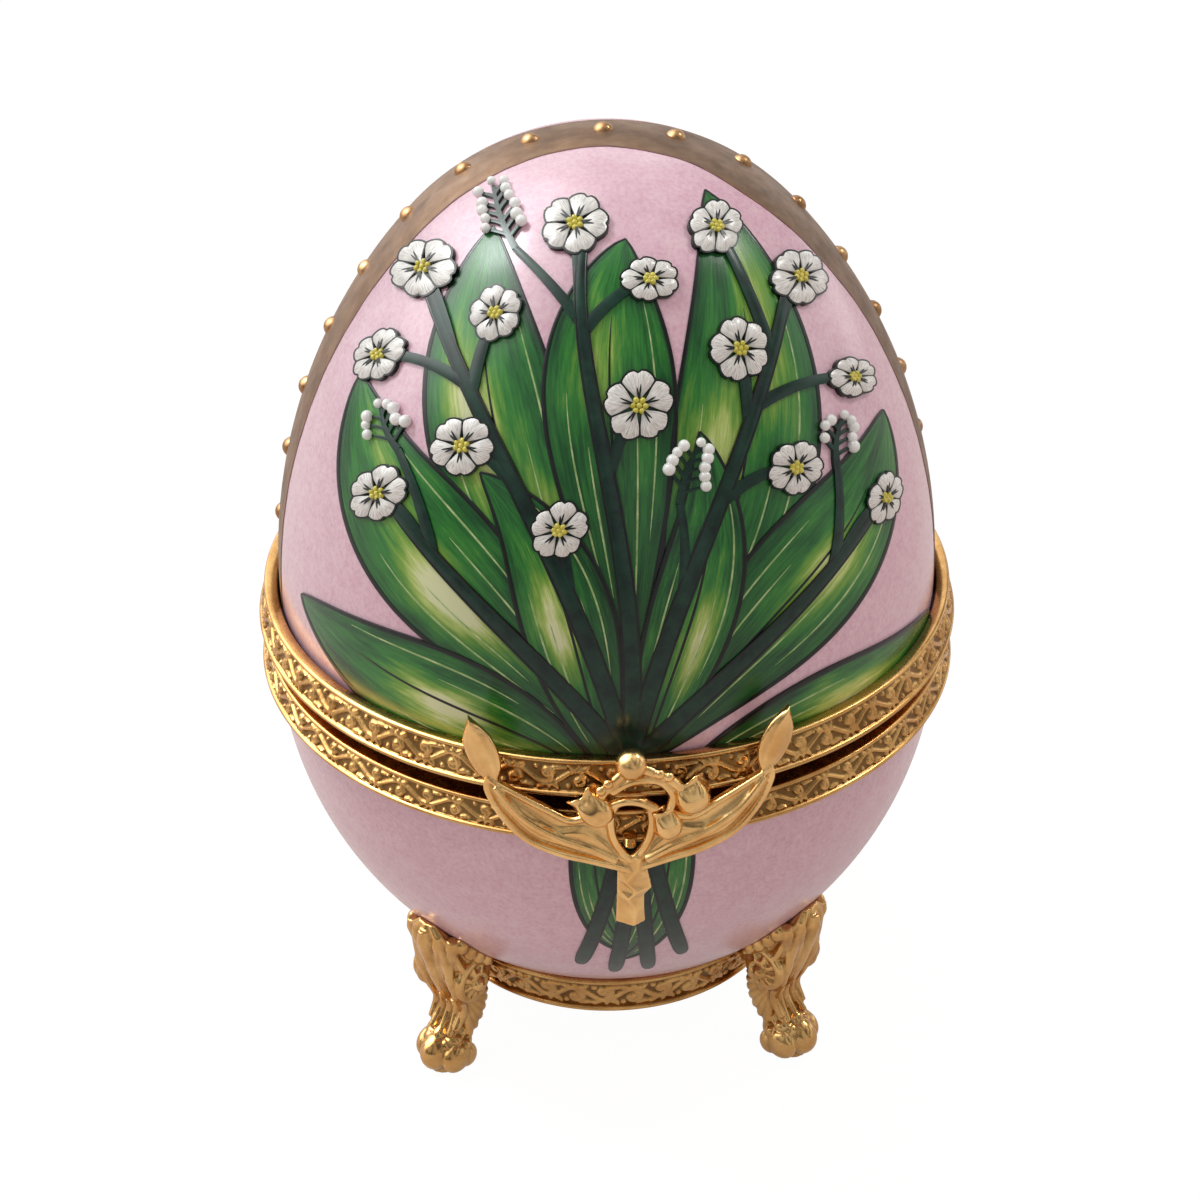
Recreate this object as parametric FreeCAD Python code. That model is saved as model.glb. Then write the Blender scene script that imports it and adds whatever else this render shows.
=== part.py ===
import FreeCAD, Part
import math
import os

# A hinged porcelain egg box on a four-legged gilt brass stand.
# Millimetres, +Z up, ground at zero, the egg's axis on Z, the clasp towards -Y and the hinge towards +Y.

# Porcelain bowl, the lower half of the egg
bowl_rim_radius = 35.2
bowl_side_share = 1.193
bowl_side_turn = math.radians(38)
bowl_lower_share = 0.739
bowl_foot_share = 0.494
bowl_wall = 3.0
bowl_rim_height = 1.7
bowl_foot_width = 2.0
bowl_foot_height = 1.9
bowl_foot_recess = 1.1

# Porcelain lid, the upper half of the egg
lid_rim_step = 0.9
lid_rim_height = 2.8
lid_side_share = 1.668
lid_crown_share = 0.753
lid_wall = 2.8

# Brass collars round both rims
collar_reach = 1.5
collar_flange = 1.0
collar_bead = 0.55
collar_relief = 0.35
collar_seam = 2.0
base_collar_height = 3.3
base_collar_taper = 0.6
lid_collar_height = 3.8
lid_collar_taper = 0.7
lid_collar_slope = 0.6
cement_gap = 0.1

# Lip inside the bowl's rim that the lid closes over
lip_clearance = 0.2
lip_depth = 3.0
lip_ledge = 1.1
spigot_wall = 0.9
spigot_height = 1.5
spigot_clearance = 0.15
spigot_chamfer = 0.3

# Hinge at the back
hinge_width = 16.0
hinge_knuckle_radius = 1.5
hinge_knuckle_count = 5
hinge_knuckle_gap = 0.12
hinge_standoff = 0.1
hinge_leaf_height = 2.8
hinge_leaf_thickness = 1.0
hinge_leaf_inset = 0.2
hinge_relief = 0.15
hinge_web_depth = 1.4
hinge_pin_radius = 0.6
hinge_pin_clearance = 0.05
hinge_head_radius = 0.95
hinge_head_height = 0.5

# Clasp at the front, a cast spray with two leaves, a stem, bell flowers and a bud
clasp_standoff = 0.6
clasp_plate = 0.9
clasp_ridge = 0.6
clasp_half_span = 15.6
clasp_rise = 15.9
clasp_drop = 1.9
clasp_stem_length = 6.7
clasp_stem_width = 2.5
clasp_stem_flare = 0.5
clasp_eye_share = 0.218
clasp_eye_height = 7.3
clasp_eye_sill = 1.1
clasp_twig_radius = 0.55
clasp_knot_radius = 0.65
clasp_bell_length = 3.0
clasp_bell_mouth = 1.9
clasp_bell_shoulder = 1.45
clasp_bell_wall = 0.5
clasp_bud_radius = 1.5
clasp_bud_lift = 0.15
clasp_neck_width = 3.0
clasp_neck_height = 2.0
mount_width = 2.6
mount_height = 1.8
mount_drop = 0.3
mount_clearance = 0.2

# Catch on the lower collar that the clasp's eye springs over
nib_width = 1.5
nib_height = 1.3
nib_engagement = 0.4
nib_sill = 0.75
nib_root = 0.8

# Stand ring under the bowl
ring_overhang = 3.5
ring_taper = 1.0
ring_height = 5.2
ring_bead = 0.7
ring_relief = 0.3
ring_wall = 2.3
ring_lift = 6.7
seat_thickness = 1.0
seat_height = 1.8
seat_width = 3.4

# Cast legs, each with a leaf against the bowl, a scrolled knee, an ankle and a paw
leg_azimuths = {"front_left": -45, "front_right": 45, "rear_right": 135, "rear_left": -135}
leg_stride = 9.3
leg_height = 20.9
leg_width = 6.6
leg_depth = 6.4
toe_radius = 1.55
toe_spread = 1.75
toe_lift = 0.05
claw_radius = 0.75
heel_radius = 1.9
heel_lift = 0.1
pad_radius = 1.9
pad_height = 0.8
scroll_radius = 1.7
scroll_extra_width = 0.7
rivet_radius = 0.6
rivet_clearance = 0.05
rivet_head_radius = 0.8
rivet_head_height = 0.5
rivet_head_lift = 0.1
rivet_bite = 1.6
boss_radius = 1.5

# Raised gilt dots along the gold band over the lid
dot_width = 2.0
dot_height = 0.7
dot_pitch = 7.2
dot_row_offset = 3.0

# One overrun serves every cut
overrun = 1.0

leg_section_points = 8
full_circle_degrees = 360
quarter_circle_degrees = 90

# Centre line of a leg from its leaf down to its paw: distance out from the ring, height, width and
# depth, as shares of leg_stride, leg_height, leg_width and leg_depth
leg_section_shares = [
    (0.82, 1.000, 0.30, 0.14),
    (0.80, 0.930, 0.72, 0.34),
    (0.71, 0.835, 0.94, 0.54),
    (0.57, 0.700, 1.00, 0.80),
    (0.40, 0.560, 0.94, 0.94),
    (0.32, 0.440, 0.78, 0.82),
    (0.35, 0.325, 0.64, 0.60),
    (0.50, 0.215, 0.62, 0.54),
    (0.69, 0.120, 0.74, 0.56),
]
# Scrolls on the leg's knee: distance out from the ring, height and size, as shares of leg_stride,
# leg_height and scroll_radius
scroll_shares = [
    (0.19, 0.545, 1.00),
    (0.66, 0.640, 0.80),
    (0.69, 0.850, 0.60),
]
# Toes: distance out from the ring, side step and size, as shares of leg_stride, toe_spread and toe_radius
toe_shares = [
    (0.73, -1.15, 0.92),
    (0.83, -0.38, 1.00),
    (0.83, 0.38, 1.00),
    (0.73, 1.15, 0.92),
]

# Outer edge of a clasp leaf from the stem to its tip, then its inner edge back to the flowers,
# as shares of clasp_half_span across and of clasp_rise up from the leaf's root
leaf_outer_shares = [
    (0.06, 0.00), (0.25, 0.055), (0.43, 0.095), (0.63, 0.18), (0.775, 0.33), (0.86, 0.50), (0.84, 0.60),
]
leaf_inner_shares = [
    (0.84, 0.60), (0.77, 0.57), (0.64, 0.50), (0.47, 0.43), (0.34, 0.36), (0.18, 0.42), (0.06, 0.46),
]
# The leaf's rib, along the same shares
leaf_rib_shares = [(0.10, 0.10), (0.40, 0.22), (0.66, 0.36), (0.82, 0.56)]
leaf_rib_width_share = 0.05
# The upturned tip, up one edge and down the other
tip_right_shares = [(0.79, 0.56), (0.93, 0.62), (1.00, 0.80), (0.96, 1.00)]
tip_left_shares = [(0.96, 1.00), (0.83, 0.90), (0.775, 0.75), (0.79, 0.56)]
# Bell flowers: shoulder and the direction of the mouth, as the same shares
bell_shares = [
    ((-0.16, 0.45), (-0.34, 0.53)),
    ((0.28, 0.54), (0.50, 0.50)),
    ((0.24, 0.40), (0.10, 0.24)),
]
# Twigs that carry the flowers and the bud, as the same shares
twig_shares = [
    ((0.0, 0.70), (-0.06, 0.60)),
    ((-0.06, 0.60), (-0.10, 0.44)),
    ((0.0, 0.70), (0.13, 0.66)),
    ((0.13, 0.66), (0.24, 0.55)),
    ((0.24, 0.55), (0.27, 0.45)),
    ((-0.09, 0.46), (-0.14, 0.36)),
    ((0.27, 0.47), (0.34, 0.36)),
]
bud_height_share = 0.775
eye_waist_share = 0.55


# Radii of the egg's arcs and of the bowl's foot, which follow the bowl's rim

bowl_side_radius = bowl_rim_radius * bowl_side_share
bowl_lower_radius = bowl_rim_radius * bowl_lower_share
bowl_foot_radius = bowl_rim_radius * bowl_foot_share
lid_side_radius = bowl_rim_radius * lid_side_share
lid_crown_radius = bowl_rim_radius * lid_crown_share

# Heights, worked up from the ground

seat_top = ring_lift + seat_height
bowl_arc_side_centre = bowl_rim_radius - bowl_side_radius
bowl_step = bowl_side_radius - bowl_lower_radius
bowl_arc_lower_centre = bowl_arc_side_centre + bowl_step * math.cos(bowl_side_turn)
bowl_foot_turn = math.acos((bowl_foot_radius - bowl_arc_lower_centre) / bowl_lower_radius)
bowl_foot_top = seat_top + bowl_foot_height
bowl_lower_level = bowl_foot_top + bowl_lower_radius * math.sin(bowl_foot_turn)
bowl_side_level = bowl_lower_level + bowl_step * math.sin(bowl_side_turn)
bowl_rim_top = bowl_side_level + bowl_rim_height
base_collar_top = bowl_rim_top + collar_flange
base_collar_bottom = base_collar_top - base_collar_height
lid_collar_bottom = base_collar_top + collar_seam
lid_collar_top = lid_collar_bottom + lid_collar_height
lid_rim_bottom = lid_collar_bottom + collar_flange
lid_side_level = lid_rim_bottom + lid_rim_height

# Radii that neighbours share

collar_radius = bowl_rim_radius + collar_reach
lid_rim_radius = bowl_rim_radius - lid_rim_step
lid_side_centre = lid_rim_radius - lid_side_radius
lid_step = lid_side_radius - lid_crown_radius
lid_side_turn = math.acos(-lid_side_centre / lid_step)
lid_crown_level = lid_side_level + lid_step * math.sin(lid_side_turn)
lid_top = lid_crown_level + lid_crown_radius
lip_radius = bowl_rim_radius - bowl_wall - lip_clearance
spigot_radius = lip_radius - lip_ledge
lip_bore = spigot_radius - spigot_wall
hinge_y = collar_radius + hinge_standoff + hinge_knuckle_radius
hinge_z = base_collar_top + collar_seam / 2
hinge_leaf_radius = collar_radius + hinge_leaf_thickness
clasp_inner_radius = collar_radius + clasp_standoff
clasp_plate_radius = clasp_inner_radius + clasp_plate
clasp_ridge_radius = clasp_plate_radius + clasp_ridge
clasp_root = base_collar_bottom - clasp_drop
clasp_flex_height = lid_collar_top - mount_drop - mount_height / 2
ring_top_radius = bowl_foot_radius + ring_overhang
ring_bottom_radius = ring_top_radius - ring_taper
ring_top = ring_lift + ring_height
ring_bore = ring_bottom_radius - ring_wall + ring_taper / 2
rivet_height = seat_top + rivet_head_lift + rivet_head_radius
heel_distance = ring_top_radius + leg_section_shares[-1][0] * leg_stride

# Each band's lower and upper radius, lower and upper edge, bead and relief

base_band = (
    collar_radius, collar_radius - base_collar_taper, base_collar_bottom, base_collar_top, collar_bead,
    collar_relief)
lid_band = (
    collar_radius, collar_radius - lid_collar_taper, lid_collar_bottom, lid_collar_top, collar_bead,
    collar_relief)
ring_band = (ring_bottom_radius, ring_top_radius, ring_lift, ring_top, ring_bead, ring_relief)

origin = FreeCAD.Vector(0, 0, 0)
up = FreeCAD.Vector(0, 0, 1)
across = FreeCAD.Vector(1, 0, 0)
back = FreeCAD.Vector(0, 1, 0)


def at(radius, height):
    """A point of a section in the XZ half plane."""
    return FreeCAD.Vector(radius, 0, height)


def line(start, end):
    return Part.LineSegment(start, end).toShape()


def arc(centre_radius, centre_height, radius, start_turn, end_turn):
    """An arc in the XZ plane, its turns measured up from the radial direction."""
    turns = [start_turn, (start_turn + end_turn) / 2, end_turn]
    points = []
    for turn in turns:
        points.append(at(centre_radius + radius * math.cos(turn), centre_height + radius * math.sin(turn)))
    return Part.Arc(*points).toShape()


def polygon_edges(points):
    edges = []
    for start, end in zip(points, points[1:]):
        edges.append(line(start, end))
    return edges


def revolved(edges):
    """A solid turned round Z from a closed section."""
    wire = Part.Wire(Part.__sortEdges__(edges))
    return Part.Face(wire).revolve(origin, up, full_circle_degrees)


def turned_ring(points):
    return revolved(polygon_edges(points + points[:1]))


def fused(solids):
    joined = solids[0].multiFuse(solids[1:]) if len(solids) > 1 else solids[0]
    return joined.removeSplitter()


def box_between(low, high):
    size = high - low
    return Part.makeBox(size.x, size.y, size.z, low)


def smooth_wire(points):
    """A closed smooth curve through points in one plane."""
    curve = Part.BSplineCurve()
    curve.interpolate(points, True)
    return Part.Wire([curve.toShape()])


# Porcelain

def bowl_outer_edges():
    """The bowl's outside from its rim down to its foot."""
    rim = at(bowl_rim_radius, bowl_rim_top)
    side = at(bowl_rim_radius, bowl_side_level)
    foot = at(bowl_foot_radius, seat_top)
    return [
        line(rim, side),
        arc(bowl_arc_side_centre, bowl_side_level, bowl_side_radius, 0, -bowl_side_turn),
        arc(bowl_arc_lower_centre, bowl_lower_level, bowl_lower_radius, -bowl_side_turn, -bowl_foot_turn),
        line(at(bowl_foot_radius, bowl_foot_top), foot),
    ]


def bowl_blank():
    """The bowl filled in, for cutting what lies against it."""
    rim = at(bowl_rim_radius, bowl_rim_top)
    foot = at(bowl_foot_radius, seat_top)
    edges = bowl_outer_edges()
    edges += polygon_edges([foot, at(0, seat_top), at(0, bowl_rim_top), rim])
    return revolved(edges)


def base_shell():
    inner_radius = bowl_rim_radius - bowl_wall
    foot_inner = bowl_foot_radius - bowl_foot_width
    underside = seat_top + bowl_foot_recess
    floor = underside + bowl_wall
    lower_radius = bowl_lower_radius - bowl_wall
    floor_turn = math.asin((bowl_lower_level - floor) / lower_radius)
    floor_edge = at(bowl_arc_lower_centre + lower_radius * math.cos(floor_turn), floor)
    edges = bowl_outer_edges()
    edges += polygon_edges([
        at(bowl_foot_radius, seat_top),
        at(foot_inner, seat_top),
        at(foot_inner, underside),
        at(0, underside),
        at(0, floor),
        floor_edge,
    ])
    edges.append(arc(bowl_arc_lower_centre, bowl_lower_level, lower_radius, -floor_turn, -bowl_side_turn))
    edges.append(arc(bowl_arc_side_centre, bowl_side_level, bowl_side_radius - bowl_wall, -bowl_side_turn, 0))
    edges += polygon_edges([
        at(inner_radius, bowl_side_level),
        at(inner_radius, bowl_rim_top),
        at(bowl_rim_radius, bowl_rim_top),
    ])
    return revolved(edges)


def lid_arcs(inset):
    """Both arcs of the lid's profile, moved in from its outside by a wall."""
    return [
        arc(lid_side_centre, lid_side_level, lid_side_radius - inset, 0, lid_side_turn),
        arc(0, lid_crown_level, lid_crown_radius - inset, lid_side_turn, math.pi / 2),
    ]


def lid_blank():
    """The lid filled in, for cutting what lies against it."""
    edges = lid_arcs(0)
    edges += polygon_edges([
        at(0, lid_top),
        at(0, lid_rim_bottom),
        at(lid_rim_radius, lid_rim_bottom),
        at(lid_rim_radius, lid_side_level),
    ])
    return revolved(edges)


def lid_shell():
    inner_radius = lid_rim_radius - lid_wall
    edges = lid_arcs(0) + lid_arcs(lid_wall)
    edges.append(line(at(0, lid_top), at(0, lid_top - lid_wall)))
    edges += polygon_edges([
        at(inner_radius, lid_side_level),
        at(inner_radius, lid_rim_bottom),
        at(lid_rim_radius, lid_rim_bottom),
        at(lid_rim_radius, lid_side_level),
    ])
    return revolved(edges)


def lid_surface(radius):
    """Height of the lid's outside at a radius, with the turn of its normal."""
    joint_radius = lid_crown_radius * math.cos(lid_side_turn)
    if radius <= joint_radius:
        turn = math.acos(radius / lid_crown_radius)
        return lid_crown_level + lid_crown_radius * math.sin(turn), turn
    turn = math.acos((radius - lid_side_centre) / lid_side_radius)
    return lid_side_level + lid_side_radius * math.sin(turn), turn


def lid_radius_along(distance):
    """Radius of the lid's outside at a distance along its meridian from the top."""
    crown_length = lid_crown_radius * (math.pi / 2 - lid_side_turn)
    if distance <= crown_length:
        return lid_crown_radius * math.sin(distance / lid_crown_radius)
    turn = lid_side_turn - (distance - crown_length) / lid_side_radius
    return lid_side_centre + lid_side_radius * math.cos(turn)


def gilt_dots():
    """Domes in a row over the lid from side to side."""
    sphere_radius = (dot_width ** 2 / 4 + dot_height ** 2) / (2 * dot_height)
    blank = lid_blank()
    domes = []
    for step in range(int(lid_side_radius / dot_pitch) + 1):
        x = lid_radius_along(step * dot_pitch)
        radius = math.hypot(x, dot_row_offset)
        if radius > lid_rim_radius:
            break
        height, turn = lid_surface(radius)
        sink = (sphere_radius - dot_height) * math.cos(turn) / radius
        centre_z = height - (sphere_radius - dot_height) * math.sin(turn)
        for side in (-1, 1) if step else (1,):
            centre = FreeCAD.Vector(side * x * (1 - sink), dot_row_offset * (1 - sink), centre_z)
            outwards = FreeCAD.Vector(centre.x, centre.y, radius * math.tan(turn))
            domes.append(Part.makeSphere(sphere_radius, centre, outwards).cut(blank))
    return Part.makeCompound(domes)


# Brass collars

def banded_outline(bottom_radius, top_radius, bottom, top, bead, relief):
    """Outside of a band with a rounded bead along each edge and a field set back between them."""
    low = bottom + bead
    high = top - bead
    lower_field = at(bottom_radius - relief, low)
    upper_field = at(top_radius - relief, high)
    lower_edge = at(bottom_radius - relief, bottom)
    lower_bead = Part.Arc(lower_edge, at(bottom_radius, bottom + bead / 2), lower_field)
    upper_bead = Part.Arc(upper_field, at(top_radius, top - bead / 2), at(top_radius - relief, top))
    return [lower_bead.toShape(), line(lower_field, upper_field), upper_bead.toShape()]


def band_disc(bottom_radius, top_radius, bottom, top, bead, relief):
    """A band filled in to its axis, for cutting what lies against it."""
    edges = banded_outline(bottom_radius, top_radius, bottom, top, bead, relief)
    edges += polygon_edges([
        at(top_radius - relief, top),
        at(0, top),
        at(0, bottom),
        at(bottom_radius - relief, bottom),
    ])
    return revolved(edges)


def base_collar():
    """A band round the bowl's rim with a flange over its top."""
    bore = bowl_rim_radius + cement_gap
    edges = banded_outline(*base_band)
    edges += polygon_edges([
        at(collar_radius - base_collar_taper - collar_relief, base_collar_top),
        at(lip_radius, base_collar_top),
        at(lip_radius, bowl_rim_top),
        at(bore, bowl_rim_top),
        at(bore, base_collar_bottom),
        at(collar_radius - collar_relief, base_collar_bottom),
    ])
    return revolved(edges)


def lid_collar():
    """A band round the lid's rim with a flange under it and a top that slopes in to the porcelain."""
    bore = lid_rim_radius + cement_gap
    edges = banded_outline(*lid_band)
    edges += polygon_edges([
        at(collar_radius - lid_collar_taper - collar_relief, lid_collar_top),
        at(bore, lid_collar_top - lid_collar_slope),
        at(bore, lid_rim_bottom),
        at(spigot_radius + spigot_clearance, lid_rim_bottom),
        at(spigot_radius + spigot_clearance, lid_collar_bottom),
        at(collar_radius - collar_relief, lid_collar_bottom),
    ])
    return revolved(edges)


def base_lip():
    """A ring cemented inside the bowl, with a ledge for the lid's flange and a spigot inside it."""
    spigot_top = lid_collar_bottom + spigot_height
    return turned_ring([
        at(lip_bore, bowl_rim_top - lip_depth),
        at(lip_radius, bowl_rim_top - lip_depth),
        at(lip_radius, lid_collar_bottom),
        at(spigot_radius, lid_collar_bottom),
        at(spigot_radius, spigot_top - spigot_chamfer),
        at(spigot_radius - spigot_chamfer, spigot_top),
        at(lip_bore, spigot_top),
    ])


# Hinge

def hinge_axis_rod(radius, left, right):
    return Part.makeCylinder(radius, right - left, FreeCAD.Vector(left, hinge_y, hinge_z), across)


def knuckle_spans(for_lid):
    """Left and right end of each knuckle, where the lid has every second one."""
    pitch = hinge_width / hinge_knuckle_count
    spans = []
    for index in range(hinge_knuckle_count):
        if (index % 2 == 1) == for_lid:
            left = index * pitch - hinge_width / 2 + hinge_knuckle_gap / 2
            spans.append((left, left + pitch - hinge_knuckle_gap))
    return spans


def hinge_leaf(for_lid, band_bottom, blank):
    """A curved leaf soldered on a collar, with webs out to its knuckles."""
    leaf_bottom = band_bottom + hinge_leaf_inset
    leaf = Part.makeCylinder(hinge_leaf_radius, hinge_leaf_height, at(0, leaf_bottom))
    half = hinge_width / 2
    low = FreeCAD.Vector(-half, 0, leaf_bottom)
    high = FreeCAD.Vector(half, hinge_leaf_radius, leaf_bottom + hinge_leaf_height)
    leaf = leaf.common(box_between(low, high))
    leaf = leaf.cut(hinge_axis_rod(hinge_knuckle_radius + hinge_relief, -half - overrun, half + overrun))
    pieces = [leaf]
    for left, right in knuckle_spans(for_lid):
        pieces.append(hinge_axis_rod(hinge_knuckle_radius, left, right))
        web_bottom = hinge_z if for_lid else hinge_z - hinge_knuckle_radius - hinge_web_depth
        web_top = hinge_z + hinge_knuckle_radius + hinge_web_depth if for_lid else hinge_z
        web_low = FreeCAD.Vector(left, collar_radius - collar_relief, web_bottom)
        pieces.append(box_between(web_low, FreeCAD.Vector(right, hinge_y, web_top)))
    joined = fused(pieces)
    bore = hinge_axis_rod(hinge_pin_radius + hinge_pin_clearance, -half - overrun, half + overrun)
    return joined.cut(bore).cut(blank)


def hinge_pin():
    """A plain pin with a domed head at each end."""
    half = hinge_width / 2
    pieces = [hinge_axis_rod(hinge_pin_radius, -half - hinge_head_height, half + hinge_head_height)]
    for side in (-1, 1):
        foot = FreeCAD.Vector(side * half, hinge_y, hinge_z)
        head = Part.makeCone(
            hinge_head_radius, hinge_pin_radius, hinge_head_height, foot, FreeCAD.Vector(side, 0, 0))
        pieces.append(head)
    return fused(pieces)


# Clasp

# The spray, its flowers and its bud are built with the spray's root at zero, then lifted to their place

def spray_point(share, side=1):
    """A place on the spray, from shares of its half span and of its rise."""
    return FreeCAD.Vector(side * share[0] * clasp_half_span, 0, share[1] * clasp_rise)


def spray_shell(inner_radius, outer_radius):
    """The curved layer, in front of the collars, that a part of the spray is cut from."""
    bottom = -clasp_stem_length - overrun
    height = clasp_rise + clasp_stem_length + overrun + overrun
    outer = Part.makeCylinder(outer_radius, height, at(0, bottom))
    return outer.cut(Part.makeCylinder(inner_radius, height, at(0, bottom)))


def spray_backing():
    """All that lies behind the spray's back."""
    bottom = -clasp_stem_length - overrun
    return Part.makeCylinder(clasp_inner_radius, clasp_rise * 2 + clasp_stem_length, at(0, bottom))


def lifted(shape):
    """A shape of the spray at its place on the collars."""
    moved = shape.copy()
    moved.translate(up * clasp_root)
    return moved


def spray_slab(edges):
    """A flat outline carried forwards through the spray's layers."""
    wire = Part.Wire(Part.__sortEdges__(edges))
    return Part.Face(wire).extrude(back * -(clasp_ridge_radius + overrun))


def smooth_edge(points):
    curve = Part.BSplineCurve()
    curve.interpolate(points)
    return curve.toShape()


def mirrored_points(shares, side):
    return [spray_point(share, side) for share in shares]


def spray_leaf(side):
    outer = mirrored_points(leaf_outer_shares, side)
    inner = mirrored_points(leaf_inner_shares, side)
    edges = [smooth_edge(outer), smooth_edge(inner), line(inner[-1], outer[0])]
    return spray_slab(edges)


def spray_tip(side):
    rising = mirrored_points(tip_right_shares, side)
    falling = mirrored_points(tip_left_shares, side)
    return spray_slab([smooth_edge(rising), smooth_edge(falling)])


def spray_rib(side):
    """A slim raised rib along the leaf."""
    half = leaf_rib_width_share * clasp_half_span / 2
    middle = mirrored_points(leaf_rib_shares, side)
    lift = FreeCAD.Vector(0, 0, half)
    upper = [point + lift for point in middle]
    lower = [point - lift for point in middle]
    edges = [smooth_edge(upper), smooth_edge(lower), line(upper[0], lower[0]), line(upper[-1], lower[-1])]
    return spray_slab(edges)


def spray_stem():
    """The stem's end, which is the thumb lift, widened towards its foot."""
    half = clasp_stem_width / 2
    foot = -clasp_stem_length
    crown = clasp_eye_sill
    corners = [at(-half, crown), at(half, crown), at(half + clasp_stem_flare / 2, foot)]
    corners += [at(-half - clasp_stem_flare / 2, foot), at(-half, crown)]
    return spray_slab(polygon_edges(corners))


def spray_eye():
    """The teardrop eye that drops over the catch, round above and pointed below."""
    half = clasp_eye_share * clasp_half_span / 2
    sill = clasp_eye_sill
    waist = sill + clasp_eye_height * eye_waist_share
    crown = sill + clasp_eye_height
    round_top = Part.Arc(at(half, waist), at(0, crown), at(-half, waist)).toShape()
    return spray_slab([round_top, line(at(-half, waist), at(0, sill)), line(at(0, sill), at(half, waist))])


def spray_neck():
    """The springy neck behind the bud, where the spray is held to the lid's collar."""
    half = clasp_neck_width / 2
    low = clasp_flex_height - clasp_root - clasp_neck_height / 2
    high = bud_height_share * clasp_rise
    corners = [at(-half, low), at(half, low), at(half, high), at(-half, high), at(-half, low)]
    return spray_slab(polygon_edges(corners))


def on_spray_surface(share, radius):
    """A place of the spray on a cylinder round the egg."""
    x = share[0] * clasp_half_span
    y = -math.sqrt(radius ** 2 - x ** 2)
    return FreeCAD.Vector(x, y, share[1] * clasp_rise)


def twig(start_share, end_share):
    start = on_spray_surface(start_share, clasp_plate_radius)
    end = on_spray_surface(end_share, clasp_plate_radius)
    run = end - start
    rod = Part.makeCylinder(clasp_twig_radius, run.Length, start, run)
    return [rod, Part.makeSphere(clasp_knot_radius, end)]


def clasp_spray():
    plate_shell = spray_shell(clasp_inner_radius, clasp_plate_radius)
    rib_shell = spray_shell(clasp_plate_radius - clasp_plate / 2, clasp_ridge_radius)
    pieces = [spray_stem().common(plate_shell), spray_neck().common(plate_shell)]
    for side in (-1, 1):
        pieces.append(spray_leaf(side).common(plate_shell))
        pieces.append(spray_tip(side).common(plate_shell))
        pieces.append(spray_rib(side).common(rib_shell))
    for start_share, end_share in twig_shares:
        pieces += twig(start_share, end_share)
    return fused(pieces).cut(spray_eye())


def bell(shares):
    """A bell flower, round at its shoulder and open at its flared mouth."""
    shoulder = on_spray_surface(shares[0], clasp_plate_radius)
    towards = on_spray_surface(shares[1], clasp_plate_radius) - shoulder
    skirt = Part.makeCone(clasp_bell_shoulder, clasp_bell_mouth, clasp_bell_length, shoulder, towards)
    flower = skirt.fuse(Part.makeSphere(clasp_bell_shoulder, shoulder))
    flare = (clasp_bell_mouth - clasp_bell_shoulder) / clasp_bell_length
    hollow_root = clasp_bell_shoulder - clasp_bell_wall
    hollow_mouth = clasp_bell_mouth - clasp_bell_wall + flare * overrun
    hollow = Part.makeCone(hollow_root, hollow_mouth, clasp_bell_length + overrun, shoulder, towards)
    return flower.cut(hollow)


def clasp_bells(spray):
    """Three bell flowers soldered on the spray."""
    flowers = []
    for shares in bell_shares:
        flowers.append(bell(shares))
    joined = fused(flowers)
    return joined.cut(spray_backing()).cut(spray)


def clasp_bud(spray):
    """A round bud over the neck."""
    centre = on_spray_surface((0, bud_height_share), clasp_plate_radius + clasp_bud_lift)
    return Part.makeSphere(clasp_bud_radius, centre).cut(spray)


def clasp_mount(blank):
    """A tab soldered on the lid's collar, which the spray's neck hangs from."""
    half = mount_width / 2
    top = lid_collar_top - mount_drop
    reach = clasp_inner_radius - mount_clearance
    low = FreeCAD.Vector(-half, -reach, top - mount_height)
    tab = box_between(low, FreeCAD.Vector(half, 0, top))
    return tab.common(Part.makeCylinder(reach, lid_top)).cut(blank)


def catch_nib(blank):
    """A wedge on the lower collar, flat below and sloped above."""
    bottom = clasp_root + clasp_eye_sill + nib_sill
    tip = clasp_inner_radius + nib_engagement
    root = collar_radius - nib_root
    top = bottom + nib_height
    corners = [
        FreeCAD.Vector(-nib_width / 2, -root, bottom),
        FreeCAD.Vector(-nib_width / 2, -tip, bottom),
        FreeCAD.Vector(-nib_width / 2, -tip, bottom + nib_height / 2),
        FreeCAD.Vector(-nib_width / 2, -root, top),
    ]
    wedge = Part.Face(Part.makePolygon(corners + corners[:1])).extrude(across * nib_width)
    return wedge.cut(blank)


# Stand

def at_azimuth(shape, azimuth):
    """Turns a shape built in the XZ plane to an azimuth, zero at the front and growing to the right."""
    turned = shape.copy()
    turned.rotate(origin, up, azimuth - quarter_circle_degrees)
    return turned


def rivet_rod(radius, start, end):
    return Part.makeCylinder(radius, end - start, at(start, rivet_height), across)


def stand_ring(bowl):
    """A chased band under the bowl, bored for the legs' rivets."""
    edges = banded_outline(*ring_band)
    edges += polygon_edges([
        at(ring_top_radius - ring_relief, ring_top),
        at(ring_bore, ring_top),
        at(ring_bore, ring_lift),
        at(ring_bottom_radius - ring_relief, ring_lift),
    ])
    ring = revolved(edges).cut(bowl)
    for azimuth in leg_azimuths.values():
        bore = rivet_rod(rivet_radius + rivet_clearance, ring_bore - overrun, ring_top_radius + overrun)
        ring = ring.cut(at_azimuth(bore, azimuth))
    return ring


def stand_seat():
    """A washer inside the ring that the bowl's foot stands on."""
    inner = ring_bore - seat_width
    return turned_ring([
        at(inner, seat_top - seat_thickness),
        at(ring_bore, seat_top - seat_thickness),
        at(ring_bore, seat_top),
        at(inner, seat_top),
    ])


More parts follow.
